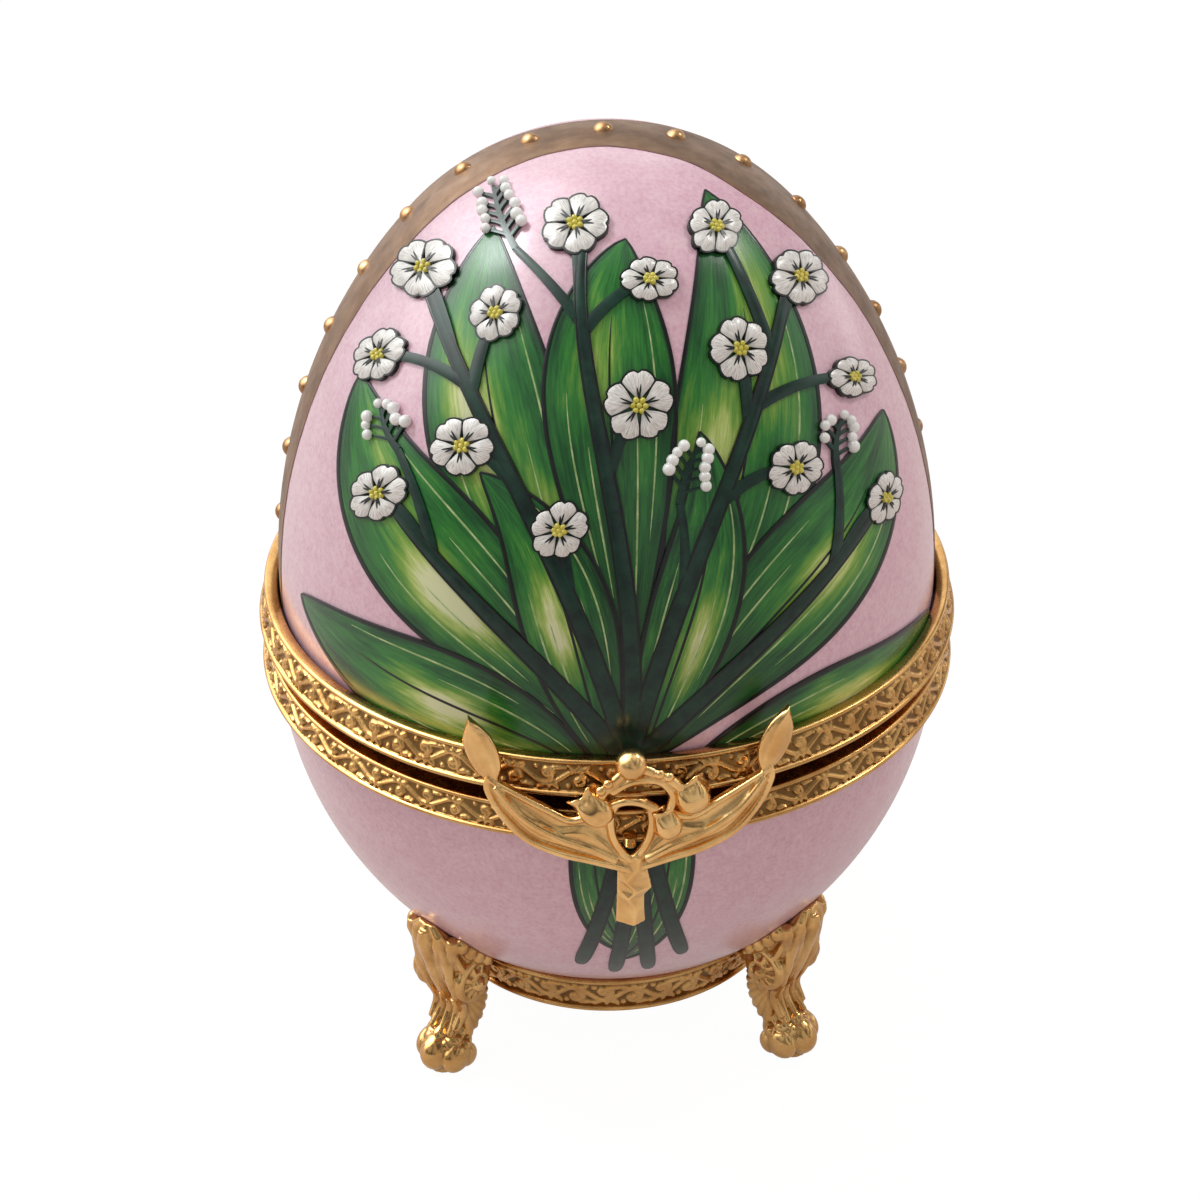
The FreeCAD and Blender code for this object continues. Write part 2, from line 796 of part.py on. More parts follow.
def leg_sections():
    """Ovals square to the leg's centre line."""
    centres = []
    for stride_share, height_share, width_share, depth_share in leg_section_shares:
        centres.append(at(ring_top_radius + stride_share * leg_stride, height_share * leg_height))
    wires = []
    for index, shares in enumerate(leg_section_shares):
        before = centres[max(index - 1, 0)]
        after = centres[min(index + 1, len(centres) - 1)]
        run = (after - before).normalize()
        outwards = back.cross(run)
        half_width = shares[2] * leg_width / 2
        half_depth = shares[3] * leg_depth / 2
        points = []
        for step in range(leg_section_points):
            turn = step * 2 * math.pi / leg_section_points
            side_step = back * (half_width * math.cos(turn))
            depth_step = outwards * (half_depth * math.sin(turn))
            points.append(centres[index] + side_step + depth_step)
        wires.append(smooth_wire(points))
    return wires


def leg_blank():
    """One leg in the XZ plane, before it is fitted to the ring and the bowl."""
    pieces = [Part.makeLoft(leg_sections(), True, False)]
    for stride_share, height_share, size_share in scroll_shares:
        length = leg_width * size_share + scroll_extra_width
        centre = at(ring_top_radius + stride_share * leg_stride, height_share * leg_height)
        pieces.append(Part.makeCylinder(
            scroll_radius * size_share, length, centre - back * (length / 2), back))
    for stride_share, side_share, size_share in toe_shares:
        size = toe_radius * size_share
        distance = ring_top_radius + stride_share * leg_stride
        centre = FreeCAD.Vector(distance, side_share * toe_spread, size + toe_lift)
        pieces.append(Part.makeSphere(size, centre))
        claw = centre + FreeCAD.Vector(size - claw_radius / 2, 0, claw_radius - size)
        pieces.append(Part.makeSphere(claw_radius, claw))
    pieces.append(Part.makeSphere(heel_radius, at(heel_distance, heel_radius + heel_lift)))
    pieces.append(Part.makeCylinder(pad_radius, pad_height, at(heel_distance, 0)))
    boss_length = ring_top_radius - ring_bore + leg_stride / 2
    pieces.append(Part.makeCylinder(boss_radius, boss_length, at(ring_bore, rivet_height), across))
    return fused(pieces)


def fitted_leg(ring_disc, bowl):
    """A leg cut back to the ring and the bowl, and bored for its rivet."""
    leg = leg_blank().cut(ring_disc).cut(bowl)
    far = ring_top_radius + leg_stride * 2
    below = box_between(at(0, -leg_height) - back * leg_height, at(far, 0) + back * leg_height)
    leg = leg.cut(below)
    bore_end = ring_top_radius + rivet_bite + rivet_clearance
    leg = leg.cut(rivet_rod(rivet_radius + rivet_clearance, ring_bore, bore_end))
    return max(leg.Solids, key=lambda solid: solid.Volume)


def leg_rivets():
    """A rivet through the ring into each leg, headed inside the ring."""
    rivets = []
    for azimuth in leg_azimuths.values():
        shank = rivet_rod(rivet_radius, ring_bore - rivet_head_height, ring_top_radius + rivet_bite)
        head = rivet_rod(rivet_head_radius, ring_bore - rivet_head_height, ring_bore)
        head = head.common(Part.makeCylinder(ring_bore, ring_top))
        rivets.append(at_azimuth(fused([shank, head]), azimuth))
    return Part.makeCompound(rivets)


def build_parts():
    bowl = bowl_blank()
    base_disc = band_disc(*base_band)
    lid_disc = band_disc(*lid_band)
    ring_disc = band_disc(*ring_band)
    spray = clasp_spray()
    parts = {
        "base_shell": base_shell(),
        "base_collar": base_collar(),
        "base_lip": base_lip(),
        "base_hinge_leaf": hinge_leaf(False, base_collar_bottom, base_disc),
        "hinge_pin": hinge_pin(),
        "catch_nib": catch_nib(base_disc),
        "stand_ring": stand_ring(bowl),
        "stand_seat": stand_seat(),
        "leg_rivets": leg_rivets(),
        "lid_shell": lid_shell(),
        "lid_collar": lid_collar(),
        "lid_hinge_leaf": hinge_leaf(True, lid_collar_bottom, lid_disc),
        "gilt_dots": gilt_dots(),
        "clasp_mount": clasp_mount(lid_disc),
        "clasp_spray": lifted(spray),
        "clasp_bells": lifted(clasp_bells(spray)),
        "clasp_bud": lifted(clasp_bud(spray)),
    }
    leg = fitted_leg(ring_disc, bowl)
    for name, azimuth in leg_azimuths.items():
        parts["leg_" + name] = at_azimuth(leg, azimuth)
    return parts


os.makedirs("parts", exist_ok=True)
for node_name, node_shape in build_parts().items():
    node_shape.exportStep("parts/" + node_name + ".step")
    box = node_shape.BoundBox
    print(node_name, len(node_shape.Solids), "solids, volume", round(node_shape.Volume, 1),
          "valid", node_shape.isValid(),
          "x", round(box.XMin, 2), round(box.XMax, 2),
          "y", round(box.YMin, 2), round(box.YMax, 2),
          "z", round(box.ZMin, 2), round(box.ZMax, 2))
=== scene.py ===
import math

import bmesh
import bpy
import mathutils
import numpy as np
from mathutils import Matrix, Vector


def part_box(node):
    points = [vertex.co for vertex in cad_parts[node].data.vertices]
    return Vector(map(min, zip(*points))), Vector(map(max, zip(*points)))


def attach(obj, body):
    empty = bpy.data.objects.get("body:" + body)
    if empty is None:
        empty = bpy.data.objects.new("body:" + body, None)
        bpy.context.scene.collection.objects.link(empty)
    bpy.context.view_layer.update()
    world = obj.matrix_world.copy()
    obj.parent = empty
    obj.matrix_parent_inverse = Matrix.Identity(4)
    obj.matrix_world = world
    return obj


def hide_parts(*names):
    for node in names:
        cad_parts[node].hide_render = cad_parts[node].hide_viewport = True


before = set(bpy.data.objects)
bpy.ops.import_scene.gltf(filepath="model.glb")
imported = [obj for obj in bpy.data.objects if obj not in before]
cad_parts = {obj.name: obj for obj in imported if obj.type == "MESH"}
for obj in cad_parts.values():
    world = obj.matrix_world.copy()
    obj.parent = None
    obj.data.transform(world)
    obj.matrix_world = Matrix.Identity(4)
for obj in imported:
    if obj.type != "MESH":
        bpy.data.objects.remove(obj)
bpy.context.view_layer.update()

# Shapes are worked out in millimetres and written to meshes in metres
mm = 0.001
full_turn = 2 * math.pi
right_angle = math.pi / 2
rng = np.random.default_rng(7)


# Sizes that the frame gives

def radius_of(node):
    low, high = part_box(node)
    return max(-low.x, high.x, -low.y, high.y) / mm


def bottom_of(node):
    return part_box(node)[0].z / mm


def top_of(node):
    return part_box(node)[1].z / mm


collar_radius = radius_of("base_collar")
bowl_rim_radius = radius_of("base_shell")
bowl_rim_top = top_of("base_shell")
seat_top = top_of("stand_seat")
lid_rim_radius = radius_of("lid_shell")
lid_rim_bottom = bottom_of("lid_shell")
lip_radius = radius_of("base_lip")
ring_radius = radius_of("stand_ring")
ring_bottom = bottom_of("stand_ring")
ring_top = top_of("stand_ring")
lid_collar_bottom = bottom_of("lid_collar")
lid_collar_top = top_of("lid_collar")
base_collar_bottom = bottom_of("base_collar")
base_collar_top = top_of("base_collar")
clasp_half_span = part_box("clasp_spray")[1].x / mm
clasp_bottom = bottom_of("clasp_spray")
clasp_top = top_of("clasp_spray")

# Sizes of the porcelain's arcs and walls, which are the solids' own
lid_side_radius = bowl_rim_radius * 1.668
lid_crown_radius = bowl_rim_radius * 0.753
lid_wall = 2.8
lid_rim_height = 2.8
bowl_side_radius = bowl_rim_radius * 1.193
bowl_lower_radius = bowl_rim_radius * 0.739
bowl_side_turn = math.radians(38)
bowl_wall = 3.0
bowl_rim_height = 1.7
bowl_foot_radius = bowl_rim_radius * 0.494
bowl_foot_width = 2.0
bowl_foot_recess = 1.1

lid_side_level = lid_rim_bottom + lid_rim_height
lid_side_centre = lid_rim_radius - lid_side_radius
lid_side_turn = math.acos(-lid_side_centre / (lid_side_radius - lid_crown_radius))
lid_crown_level = lid_side_level + (lid_side_radius - lid_crown_radius) * math.sin(lid_side_turn)
bowl_side_level = bowl_rim_top - bowl_rim_height
bowl_side_centre = bowl_rim_radius - bowl_side_radius
bowl_lower_centre = bowl_side_centre + (bowl_side_radius - bowl_lower_radius) * math.cos(bowl_side_turn)
bowl_lower_level = bowl_side_level - (bowl_side_radius - bowl_lower_radius) * math.sin(bowl_side_turn)


# Mesh helpers

smooth_edge = 40
soft_edge = 55
no_edge = 180
merge_distance = 0.0005 * mm


def make_object(name, points, faces, materials, face_materials=None, attributes=None, sharp=smooth_edge):
    """A mesh object from points in millimetres, smooth but for edges sharper than some degrees."""
    mesh = bpy.data.meshes.new(name)
    mesh.from_pydata((np.asarray(points, dtype=float) * mm).tolist(), [], faces)
    for material in materials:
        mesh.materials.append(material)
    if face_materials is not None:
        mesh.polygons.foreach_set("material_index", np.asarray(face_materials, dtype=np.int32))
    for key, values in (attributes or {}).items():
        values = np.asarray(values, dtype=np.float32)
        kind, field = ("FLOAT", "value") if values.ndim == 1 else ("FLOAT_VECTOR", "vector")
        mesh.attributes.new(key, kind, "POINT").data.foreach_set(field, values.ravel())
    mesh.polygons.foreach_set("use_smooth", np.ones(len(mesh.polygons), dtype=bool))
    mesh.set_sharp_from_angle(angle=math.radians(sharp))
    made = bpy.data.objects.new(name, mesh)
    bpy.context.scene.collection.objects.link(made)
    return made


def clean(made):
    """Merges points that meet, drops faces of no size and turns the rest outwards."""
    work = bmesh.new()
    work.from_mesh(made.data)
    bmesh.ops.remove_doubles(work, verts=work.verts, dist=merge_distance)
    bmesh.ops.dissolve_degenerate(work, edges=work.edges, dist=merge_distance / 10)
    bmesh.ops.recalc_face_normals(work, faces=work.faces)
    work.to_mesh(made.data)
    work.free()
    return made


def place_piece(made, body, node=None):
    """Lets a piece ride on a body, and stand for a node's solid if one is named."""
    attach(made, body)
    if node:
        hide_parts(node)


def grid_faces(rows, columns, close_rows=False, close_columns=False):
    """Quads over a grid of points stored row by row."""
    row_index = np.arange(rows if close_rows else rows - 1)
    column_index = np.arange(columns if close_columns else columns - 1)
    r, c = np.meshgrid(row_index, column_index, indexing="ij")
    next_r = (r + 1) % rows
    next_c = (c + 1) % columns
    corners = [r * columns + c, r * columns + next_c, next_r * columns + next_c, next_r * columns + c]
    return np.stack([corner.ravel() for corner in corners], axis=1).tolist()


def tube_faces(rows, columns):
    """Faces of a closed tube stored ring by ring, with a flat face at each end."""
    first = list(range(columns))
    last = list(range((rows - 1) * columns, rows * columns))
    return grid_faces(rows, columns, close_columns=True) + [first[::-1], last]


def round_angles(count):
    """Evenly spread angles round a full turn."""
    return np.arange(count) * (full_turn / count)


def turned(loop, columns, relief=0):
    """Points of a closed (radius, height) loop turned round Z, row by row along the loop."""
    loop = np.asarray(loop)
    angles = round_angles(columns)
    radius = np.repeat(loop[:, :1], columns, axis=1) + relief
    height = np.repeat(loop[:, 1:2], columns, axis=1)
    return np.stack([radius * np.sin(angles), -radius * np.cos(angles), height], axis=2).reshape(-1, 3)


def arc_points(centre, radius, start_turn, end_turn, count):
    turns = np.linspace(start_turn, end_turn, count)
    return [(centre[0] + radius * math.cos(t), centre[1] + radius * math.sin(t)) for t in turns]


def bezier(points, t):
    """Points of a Bezier curve with some control points, at the values t."""
    points = np.asarray(points, dtype=float)
    t = np.asarray(t, dtype=float)[:, None]
    degree = len(points) - 1
    total = 0
    for index, point in enumerate(points):
        total = total + math.comb(degree, index) * (1 - t) ** (degree - index) * t ** index * point
    return total


def smooth_path(points, count):
    """A curve through points, sampled evenly along its span."""
    points = np.asarray(points, dtype=float)
    padded = np.concatenate([2 * points[:1] - points[1:2], points, 2 * points[-1:] - points[-2:-1]])
    places = np.linspace(0, len(points) - 1, count)
    index = np.minimum(places.astype(int), len(points) - 2)
    t = (places - index)[:, None]
    before, start, end, after = (padded[index + step] for step in range(4))
    return 0.5 * (2 * start + (end - before) * t + (2 * before - 5 * start + 4 * end - after) * t ** 2
                  + (3 * start - before - 3 * end + after) * t ** 3)


def unit(vectors):
    return vectors / np.maximum(np.linalg.norm(vectors, axis=-1, keepdims=True), 1e-9)


def side_of(path):
    """The unit direction to the left of a flat path, at each of its points."""
    tangent = unit(np.gradient(path, axis=0))
    return np.stack([-tangent[:, 1], tangent[:, 0]], axis=1)


def tube(path, radii, places=None, sides=12):
    """A round tube along a path, through radii at shares of its length, or evenly spread ones."""
    path = np.asarray(path, dtype=float)
    places = np.linspace(0, 1, len(radii)) if places is None else places
    radius = np.interp(np.linspace(0, 1, len(path)), places, radii)
    tangents = unit(np.gradient(path, axis=0))
    side = unit(np.cross(tangents, [0.31, 0.17, 0.93]))
    other = np.cross(tangents, side)
    angles = round_angles(sides)[None, :, None]
    circle = np.cos(angles) * side[:, None, :] + np.sin(angles) * other[:, None, :]
    points = path[:, None, :] + radius[:, None, None] * circle
    return points.reshape(-1, 3), tube_faces(len(path), sides)


def ball(centre, radii, rings=10, sides=16):
    """Points and faces of an ellipsoid."""
    turns = np.linspace(-right_angle, right_angle, rings + 1)
    angles = round_angles(sides)
    grid = np.stack([
        np.cos(turns)[:, None] * np.cos(angles),
        np.cos(turns)[:, None] * np.sin(angles),
        np.repeat(np.sin(turns)[:, None], sides, axis=1),
    ], axis=2).reshape(-1, 3) * np.asarray(radii)
    return grid + np.asarray(centre), grid_faces(rings + 1, sides, close_columns=True)


class Heap:
    """Gathers several shapes into one mesh."""

    def __init__(self):
        self.points = []
        self.faces = []
        self.attributes = {}
        self.count = 0

    def add(self, points, faces, **attributes):
        points = np.asarray(points, dtype=float).reshape(-1, 3)
        self.points.append(points)
        self.faces += [[index + self.count for index in face] for face in faces]
        for key, values in attributes.items():
            values = np.asarray(values, dtype=float)
            shape = (len(points),) if values.ndim < 2 else (len(points), values.shape[-1])
            self.attributes.setdefault(key, []).append(np.broadcast_to(values, shape))
        self.count += len(points)

    def build(self, name, materials):
        attributes = {key: np.concatenate(values) for key, values in self.attributes.items()}
        return make_object(name, np.concatenate(self.points), self.faces, materials, attributes=attributes)


def build_piece(heap, name, material, body, node=None):
    """Builds a heap as one cleaned piece of one material."""
    place_piece(clean(heap.build(name, [material])), body, node)


def store_painted_shade(made, values):
    """Writes a given hollowness at each point, for the shade painted into recesses and seams."""
    hollows = made.data.attributes.new("cavity", "FLOAT", "POINT")
    hollows.data.foreach_set("value", values.ravel().astype(np.float32))


def store_cavity_shade(made, spread, extra=0.0):
    """Works out how hollow the surface is at each point, from how far smoothing moves it, for the shade
    painted into recesses.
    """
    mesh = made.data
    count = len(mesh.vertices)
    points = np.empty(count * 3)
    normals = np.empty(count * 3)
    edges = np.empty(len(mesh.edges) * 2, dtype=np.int64)
    mesh.vertices.foreach_get("co", points)
    mesh.vertices.foreach_get("normal", normals)
    mesh.edges.foreach_get("vertices", edges)
    points = points.reshape(-1, 3) / mm
    first, second = edges.reshape(-1, 2).T
    degree = np.bincount(first, minlength=count) + np.bincount(second, minlength=count)
    degree = np.maximum(degree, 1)[:, None]

    def around(values):
        total = np.zeros_like(values)
        np.add.at(total, first, values[second])
        np.add.at(total, second, values[first])
        return total / degree

    smooth = points
    for _ in range(spread):
        smooth = (smooth + around(smooth)) / 2
    field = np.sum((smooth - points) * normals.reshape(-1, 3), axis=1)[:, None]
    field = (field + around(field)) / 2
    store_painted_shade(made, field[:, 0] + extra)


# Materials

fine_bump = 0.05 * mm
paint_bump = 0.06 * mm
soft_bump = 0.1 * mm
glaze_roughness = 0.26
coat_roughness = 0.22


def add_node(tree, kind, inputs=None, **settings):
    """A shader node with its settings, and each input as a value or a link."""
    made = tree.nodes.new(kind)
    for key, value in settings.items():
        setattr(made, key, value)
    for key, value in (inputs or {}).items():
        if isinstance(value, bpy.types.NodeSocket):
            tree.links.new(value, made.inputs[key])
        else:
            made.inputs[key].default_value = value
    return made


def new_material(name, **values):
    """A material with its Principled shader's plain values set."""
    material = bpy.data.materials.new(name)
    material.use_nodes = True
    shader = material.node_tree.nodes["Principled BSDF"]
    for key, value in values.items():
        shader.inputs[key.replace("_", " ")].default_value = value
    return material, material.node_tree, shader


def colour(red, green, blue):
    """A colour given as display values from 0 to 255."""
    linear = []
    for value in (red, green, blue):
        share = value / 255
        linear.append(share / 12.92 if share < 0.04045 else ((share + 0.055) / 1.055) ** 2.4)
    return (*linear, 1.0)


def grey(value):
    return (value, value, value, 1.0)


def object_space(tree):
    return add_node(tree, "ShaderNodeTexCoord").outputs["Object"]


def noise(tree, vector, scale, detail=2.0, roughness=0.5):
    inputs = {"Vector": vector, "Scale": scale, "Detail": detail, "Roughness": roughness}
    return add_node(tree, "ShaderNodeTexNoise", inputs).outputs["Fac"]


def ramp(tree, value, stops):
    """A colour ramp from a list of (place, colour)."""
    made = add_node(tree, "ShaderNodeValToRGB", {"Fac": value})
    elements = made.color_ramp.elements
    while len(elements) < len(stops):
        elements.new(0.5)
    for element, (place, shade) in zip(elements, stops):
        element.position = place
        element.color = shade
    return made.outputs["Color"]


def map_range(tree, value, start, end, low=0.0, high=1.0):
    return add_node(tree, "ShaderNodeMapRange", {
        "Value": value, "From Min": start, "From Max": end, "To Min": low, "To Max": high}).outputs["Result"]


def maths(tree, operation, *values):
    return add_node(tree, "ShaderNodeMath", dict(enumerate(values)), operation=operation).outputs[0]


def mix(tree, factor, first, second):
    """A blend of two colours."""
    made = add_node(tree, "ShaderNodeMix", data_type="RGBA")
    for key, value in (("Factor", factor), ("A", first), ("B", second)):
        socket = next(s for s in made.inputs if s.name == key and s.type in ("RGBA", "VALUE")
                      and (s.type == "RGBA") == (key != "Factor"))
        if isinstance(value, bpy.types.NodeSocket):
            tree.links.new(value, socket)
        else:
            socket.default_value = value
    return next(s for s in made.outputs if s.type == "RGBA")


def bump(tree, shader, height, strength, distance):
    made = add_node(tree, "ShaderNodeBump", {"Height": height, "Strength": strength, "Distance": distance})
    tree.links.new(made.outputs["Normal"], shader.inputs["Normal"])


def attribute(tree, name, output="Fac"):
    return add_node(tree, "ShaderNodeAttribute", attribute_name=name).outputs[output]


def stretched(tree, vector, scale):
    return add_node(tree, "ShaderNodeMapping", {"Vector": vector, "Scale": scale}).outputs["Vector"]


def pink_glaze():
    """Pink porcelain, finely sponged, under a clear glaze."""
    material, tree, shader = new_material("pink_glaze", Roughness=glaze_roughness, Coat_Weight=0.4,
                                          Coat_Roughness=coat_roughness)
    space = object_space(tree)
    speckle = ramp(tree, noise(tree, space, 2300, 3.0, 0.65), [
        (0.36, colour(202, 144, 180)), (0.47, colour(222, 176, 196)), (0.62, colour(234, 204, 216))])
    patch = ramp(tree, noise(tree, space, 620), [
        (0.34, colour(216, 168, 190)), (0.66, colour(234, 202, 214))])
    cloud = ramp(tree, noise(tree, space, 45), [
        (0.30, colour(222, 176, 190)), (0.70, colour(234, 206, 214))])
    mottled = mix(tree, 0.45, speckle, patch)
    tree.links.new(mix(tree, 0.35, mottled, cloud), shader.inputs["Base Color"])
    bump(tree, shader, noise(tree, space, 240), 0.10, soft_bump)
    return material


def white_glaze():
    """Bare white porcelain under clear glaze, as inside the box."""
    material, tree, shader = new_material("white_glaze", Roughness=0.14, Coat_Weight=0.3, Coat_Roughness=0.06)
    space = object_space(tree)
    shade = ramp(tree, noise(tree, space, 60, 3.0), [
        (0.3, colour(232, 230, 224)), (0.7, colour(246, 244, 240))])
    tree.links.new(shade, shader.inputs["Base Color"])
    bump(tree, shader, noise(tree, space, 180), 0.08, soft_bump)
    return material


def gilt(name, bright, deep, roughness, cavity_gain):
    """Gilt brass, with shade painted darker into its recesses, which are also rougher."""
    material, tree, shader = new_material(name, Metallic=1.0)
    space = object_space(tree)
    depth = map_range(tree, attribute(tree, "cavity"), -0.2 / cavity_gain, 1.0 / cavity_gain)
    hollow = ramp(tree, depth, [(0.12, grey(0.0)), (0.6, grey(1.0))])
    tarnish = ramp(tree, noise(tree, space, 260, 4.0, 0.6), [(0.38, bright), (0.72, deep)])
    # Painted shade: the stored hollowness blends the gilt towards a dark brown.
    tree.links.new(mix(tree, hollow, tarnish, colour(44, 27, 14)), shader.inputs["Base Color"])
    wear = ramp(tree, noise(tree, space, 900, 4.0, 0.6), [
        (0.3, grey(roughness * 0.7)), (0.75, grey(roughness * 1.5))])
    tree.links.new(mix(tree, hollow, wear, grey(0.55)), shader.inputs["Roughness"])
    bump(tree, shader, noise(tree, space, 1500, 3.0), 0.12, fine_bump)
    return material


def gold_paint():
    """Matte burnished gold laid on the glaze."""
    material, tree, shader = new_material("gold_paint", Metallic=0.85)
    space = object_space(tree)
    tone = ramp(tree, noise(tree, space, 320, 4.0, 0.6), [
        (0.3, colour(98, 72, 50)), (0.55, colour(126, 98, 74)), (0.8, colour(148, 120, 96))])
    tree.links.new(tone, shader.inputs["Base Color"])
    rough = ramp(tree, noise(tree, space, 700, 3.0), [(0.3, grey(0.38)), (0.7, grey(0.52))])
    tree.links.new(rough, shader.inputs["Roughness"])
    bump(tree, shader, noise(tree, space, 1400, 3.0), 0.15, fine_bump)
    return material


def leaf_paint():
    """Brushed green with yellow-green lights, streaked along each leaf."""
    material, tree, shader = new_material("leaf_paint", Roughness=glaze_roughness, Coat_Weight=0.25,
                                          Coat_Roughness=coat_roughness, Specular_IOR_Level=0.35)
    stroke = attribute(tree, "stroke", "Vector")
    fine = noise(tree, stretched(tree, stroke, (1.1, 15.0, 1.0)), 2.0, 5.0, 0.7)
    wide = noise(tree, stretched(tree, stroke, (0.9, 3.4, 1.0)), 1.7, 3.0, 0.5)
    streaks = maths(tree, "ADD", fine, wide)
    lit = maths(tree, "MULTIPLY_ADD", streaks, 0.85, attribute(tree, "glow"))
    painted = ramp(tree, map_range(tree, lit, 0.62, 1.75), [
        (0.0, colour(12, 54, 28)), (0.18, colour(26, 94, 40)), (0.38, colour(50, 130, 50)),
        (0.62, colour(120, 166, 62)), (0.84, colour(190, 210, 120)), (1.0, colour(226, 232, 184))])
    shaded = mix(tree, attribute(tree, "shade"), painted, colour(14, 46, 30))
    tree.links.new(shaded, shader.inputs["Base Color"])
    bump(tree, shader, fine, 0.25, soft_bump)
    return material


def plain_paint(name, dark, light, scale, roughness=0.28):
    """Brushed enamel of one colour with slight variation."""
    material, tree, shader = new_material(name, Roughness=roughness, Coat_Weight=0.2,
                                          Coat_Roughness=coat_roughness, Specular_IOR_Level=0.3)
    space = object_space(tree)
    shade = ramp(tree, noise(tree, space, scale, 4.0, 0.6), [(0.34, dark), (0.68, light)])
    tree.links.new(shade, shader.inputs["Base Color"])
    bump(tree, shader, noise(tree, space, scale * 2, 3.0), 0.15, paint_bump)
    return material


def petal_paint():
    """White enamel, shaded grey towards each flower's throat from the shade attribute."""
    material, tree, shader = new_material("petal_paint", Roughness=0.24, Coat_Weight=0.4,
                                          Coat_Roughness=coat_roughness)
    along = stretched(tree, attribute(tree, "stroke", "Vector"), (1.0, 9.0, 1.0))
    brushed = ramp(tree, noise(tree, along, 2.4, 4.0, 0.6), [
        (0.32, colour(176, 176, 172)), (0.5, colour(226, 224, 220)), (0.66, colour(248, 246, 244))])
    shaded = mix(tree, attribute(tree, "shade"), brushed, colour(136, 140, 128))
    tree.links.new(shaded, shader.inputs["Base Color"])
    bump(tree, shader, noise(tree, along, 2.4, 3.0), 0.2, soft_bump)
    return material


pink = pink_glaze()
white = white_glaze()
chased = gilt("chased_gilt", colour(228, 180, 112), colour(190, 138, 78), 0.22, 1.0)
cast = gilt("cast_gilt", colour(224, 180, 116), colour(184, 134, 76), 0.17, 7.0)
# The clasp's gilt is a lighter copy of the cast gilt: painted light, so the clasp looks more brightly lit
# than the legs.
lit_cast = gilt("lit_cast_gilt", colour(252, 208, 140), colour(224, 170, 102), 0.19, 6.0)
# A darker copy of the gilt for the base's lip: painted shade, so the gap between the collars looks dark.
shaded_lip_gilt = gilt("shaded_lip_gilt", colour(128, 92, 56), colour(84, 58, 34), 0.34, 5.0)
plain_gilt = gilt("plain_gilt", colour(222, 176, 112), colour(186, 136, 78), 0.24, 5.0)
gold_dot = gilt("gold_dot", colour(190, 150, 108), colour(150, 108, 70), 0.30, 8.0)
gold = gold_paint()
green = leaf_paint()
petal = petal_paint()
ink = plain_paint("ink_line", colour(10, 16, 14), colour(24, 32, 28), 900)
stem_green = plain_paint("stem_paint", colour(8, 32, 28), colour(22, 60, 46), 500)
vein_green = plain_paint("vein_green", colour(120, 160, 92), colour(190, 208, 150), 700)
enamel_white = plain_paint("enamel_white", colour(236, 238, 236), colour(250, 250, 250), 500, 0.16)
stamen = plain_paint("stamen_paint", colour(196, 190, 70), colour(228, 214, 110), 600)
band_edge = plain_paint("band_edge", colour(92, 56, 34), colour(128, 84, 54), 700, 0.4)


# Porcelain

shell_columns = 360


def lid_profile(inset):
    """The lid's profile from its rim to its apex, moved in by an inset."""
    side = arc_points((lid_side_centre, lid_side_level), lid_side_radius - inset, 0, lid_side_turn, 60)
    crown = arc_points((0, lid_crown_level), lid_crown_radius - inset, lid_side_turn, right_angle, 40)
    return [(lid_rim_radius - inset, lid_rim_bottom)] + side + crown[1:]


def bowl_profile(inset, floor):
    """The bowl's profile from its rim down to a height near its foot."""
    side = arc_points((bowl_side_centre, bowl_side_level), bowl_side_radius - inset, 0, -bowl_side_turn, 50)
    radius = bowl_lower_radius - inset
    end_turn = -math.asin((bowl_lower_level - floor) / radius)
    lower = arc_points((bowl_lower_centre, bowl_lower_level), radius, -bowl_side_turn, end_turn, 20)
    return [(bowl_rim_radius - inset, bowl_rim_top)] + side + lower[1:]


def shell(name, loop, outer_rows, body, node):
    """A turned porcelain shell, pink on its outer rows and white elsewhere."""
    points = turned(loop, shell_columns)
    faces = grid_faces(len(loop), shell_columns, close_columns=True)
    rows = np.repeat(np.arange(len(loop) - 1), shell_columns)
    face_materials = np.where(rows < outer_rows, 0, 1)
    made = clean(make_object(name, points, faces, [pink, white], face_materials))
    made.data.set_sharp_from_angle(angle=math.radians(smooth_edge))
    place_piece(made, body, node)


def build_porcelain():
    outer = lid_profile(0)[::-1]
    shell("porcelain_lid", outer + lid_profile(lid_wall), len(outer) - 1, "lid", "lid_shell")
    foot_turn = math.acos((bowl_foot_radius - bowl_lower_centre) / bowl_lower_radius)
    foot_top = bowl_lower_level - bowl_lower_radius * math.sin(foot_turn)
    underside = seat_top + bowl_foot_recess
    floor = underside + bowl_wall
    outer = bowl_profile(0, foot_top) + [(bowl_foot_radius, seat_top)]
    foot_inner = bowl_foot_radius - bowl_foot_width
    under = [(foot_inner, seat_top), (foot_inner, underside), (0, underside), (0, floor)]
    inner = bowl_profile(bowl_wall, floor)[::-1]
    shell("porcelain_bowl", outer + under + inner + outer[:1], len(outer) - 1, "base", "base_shell")


# Distance to the egg's outside, for whatever lies on it

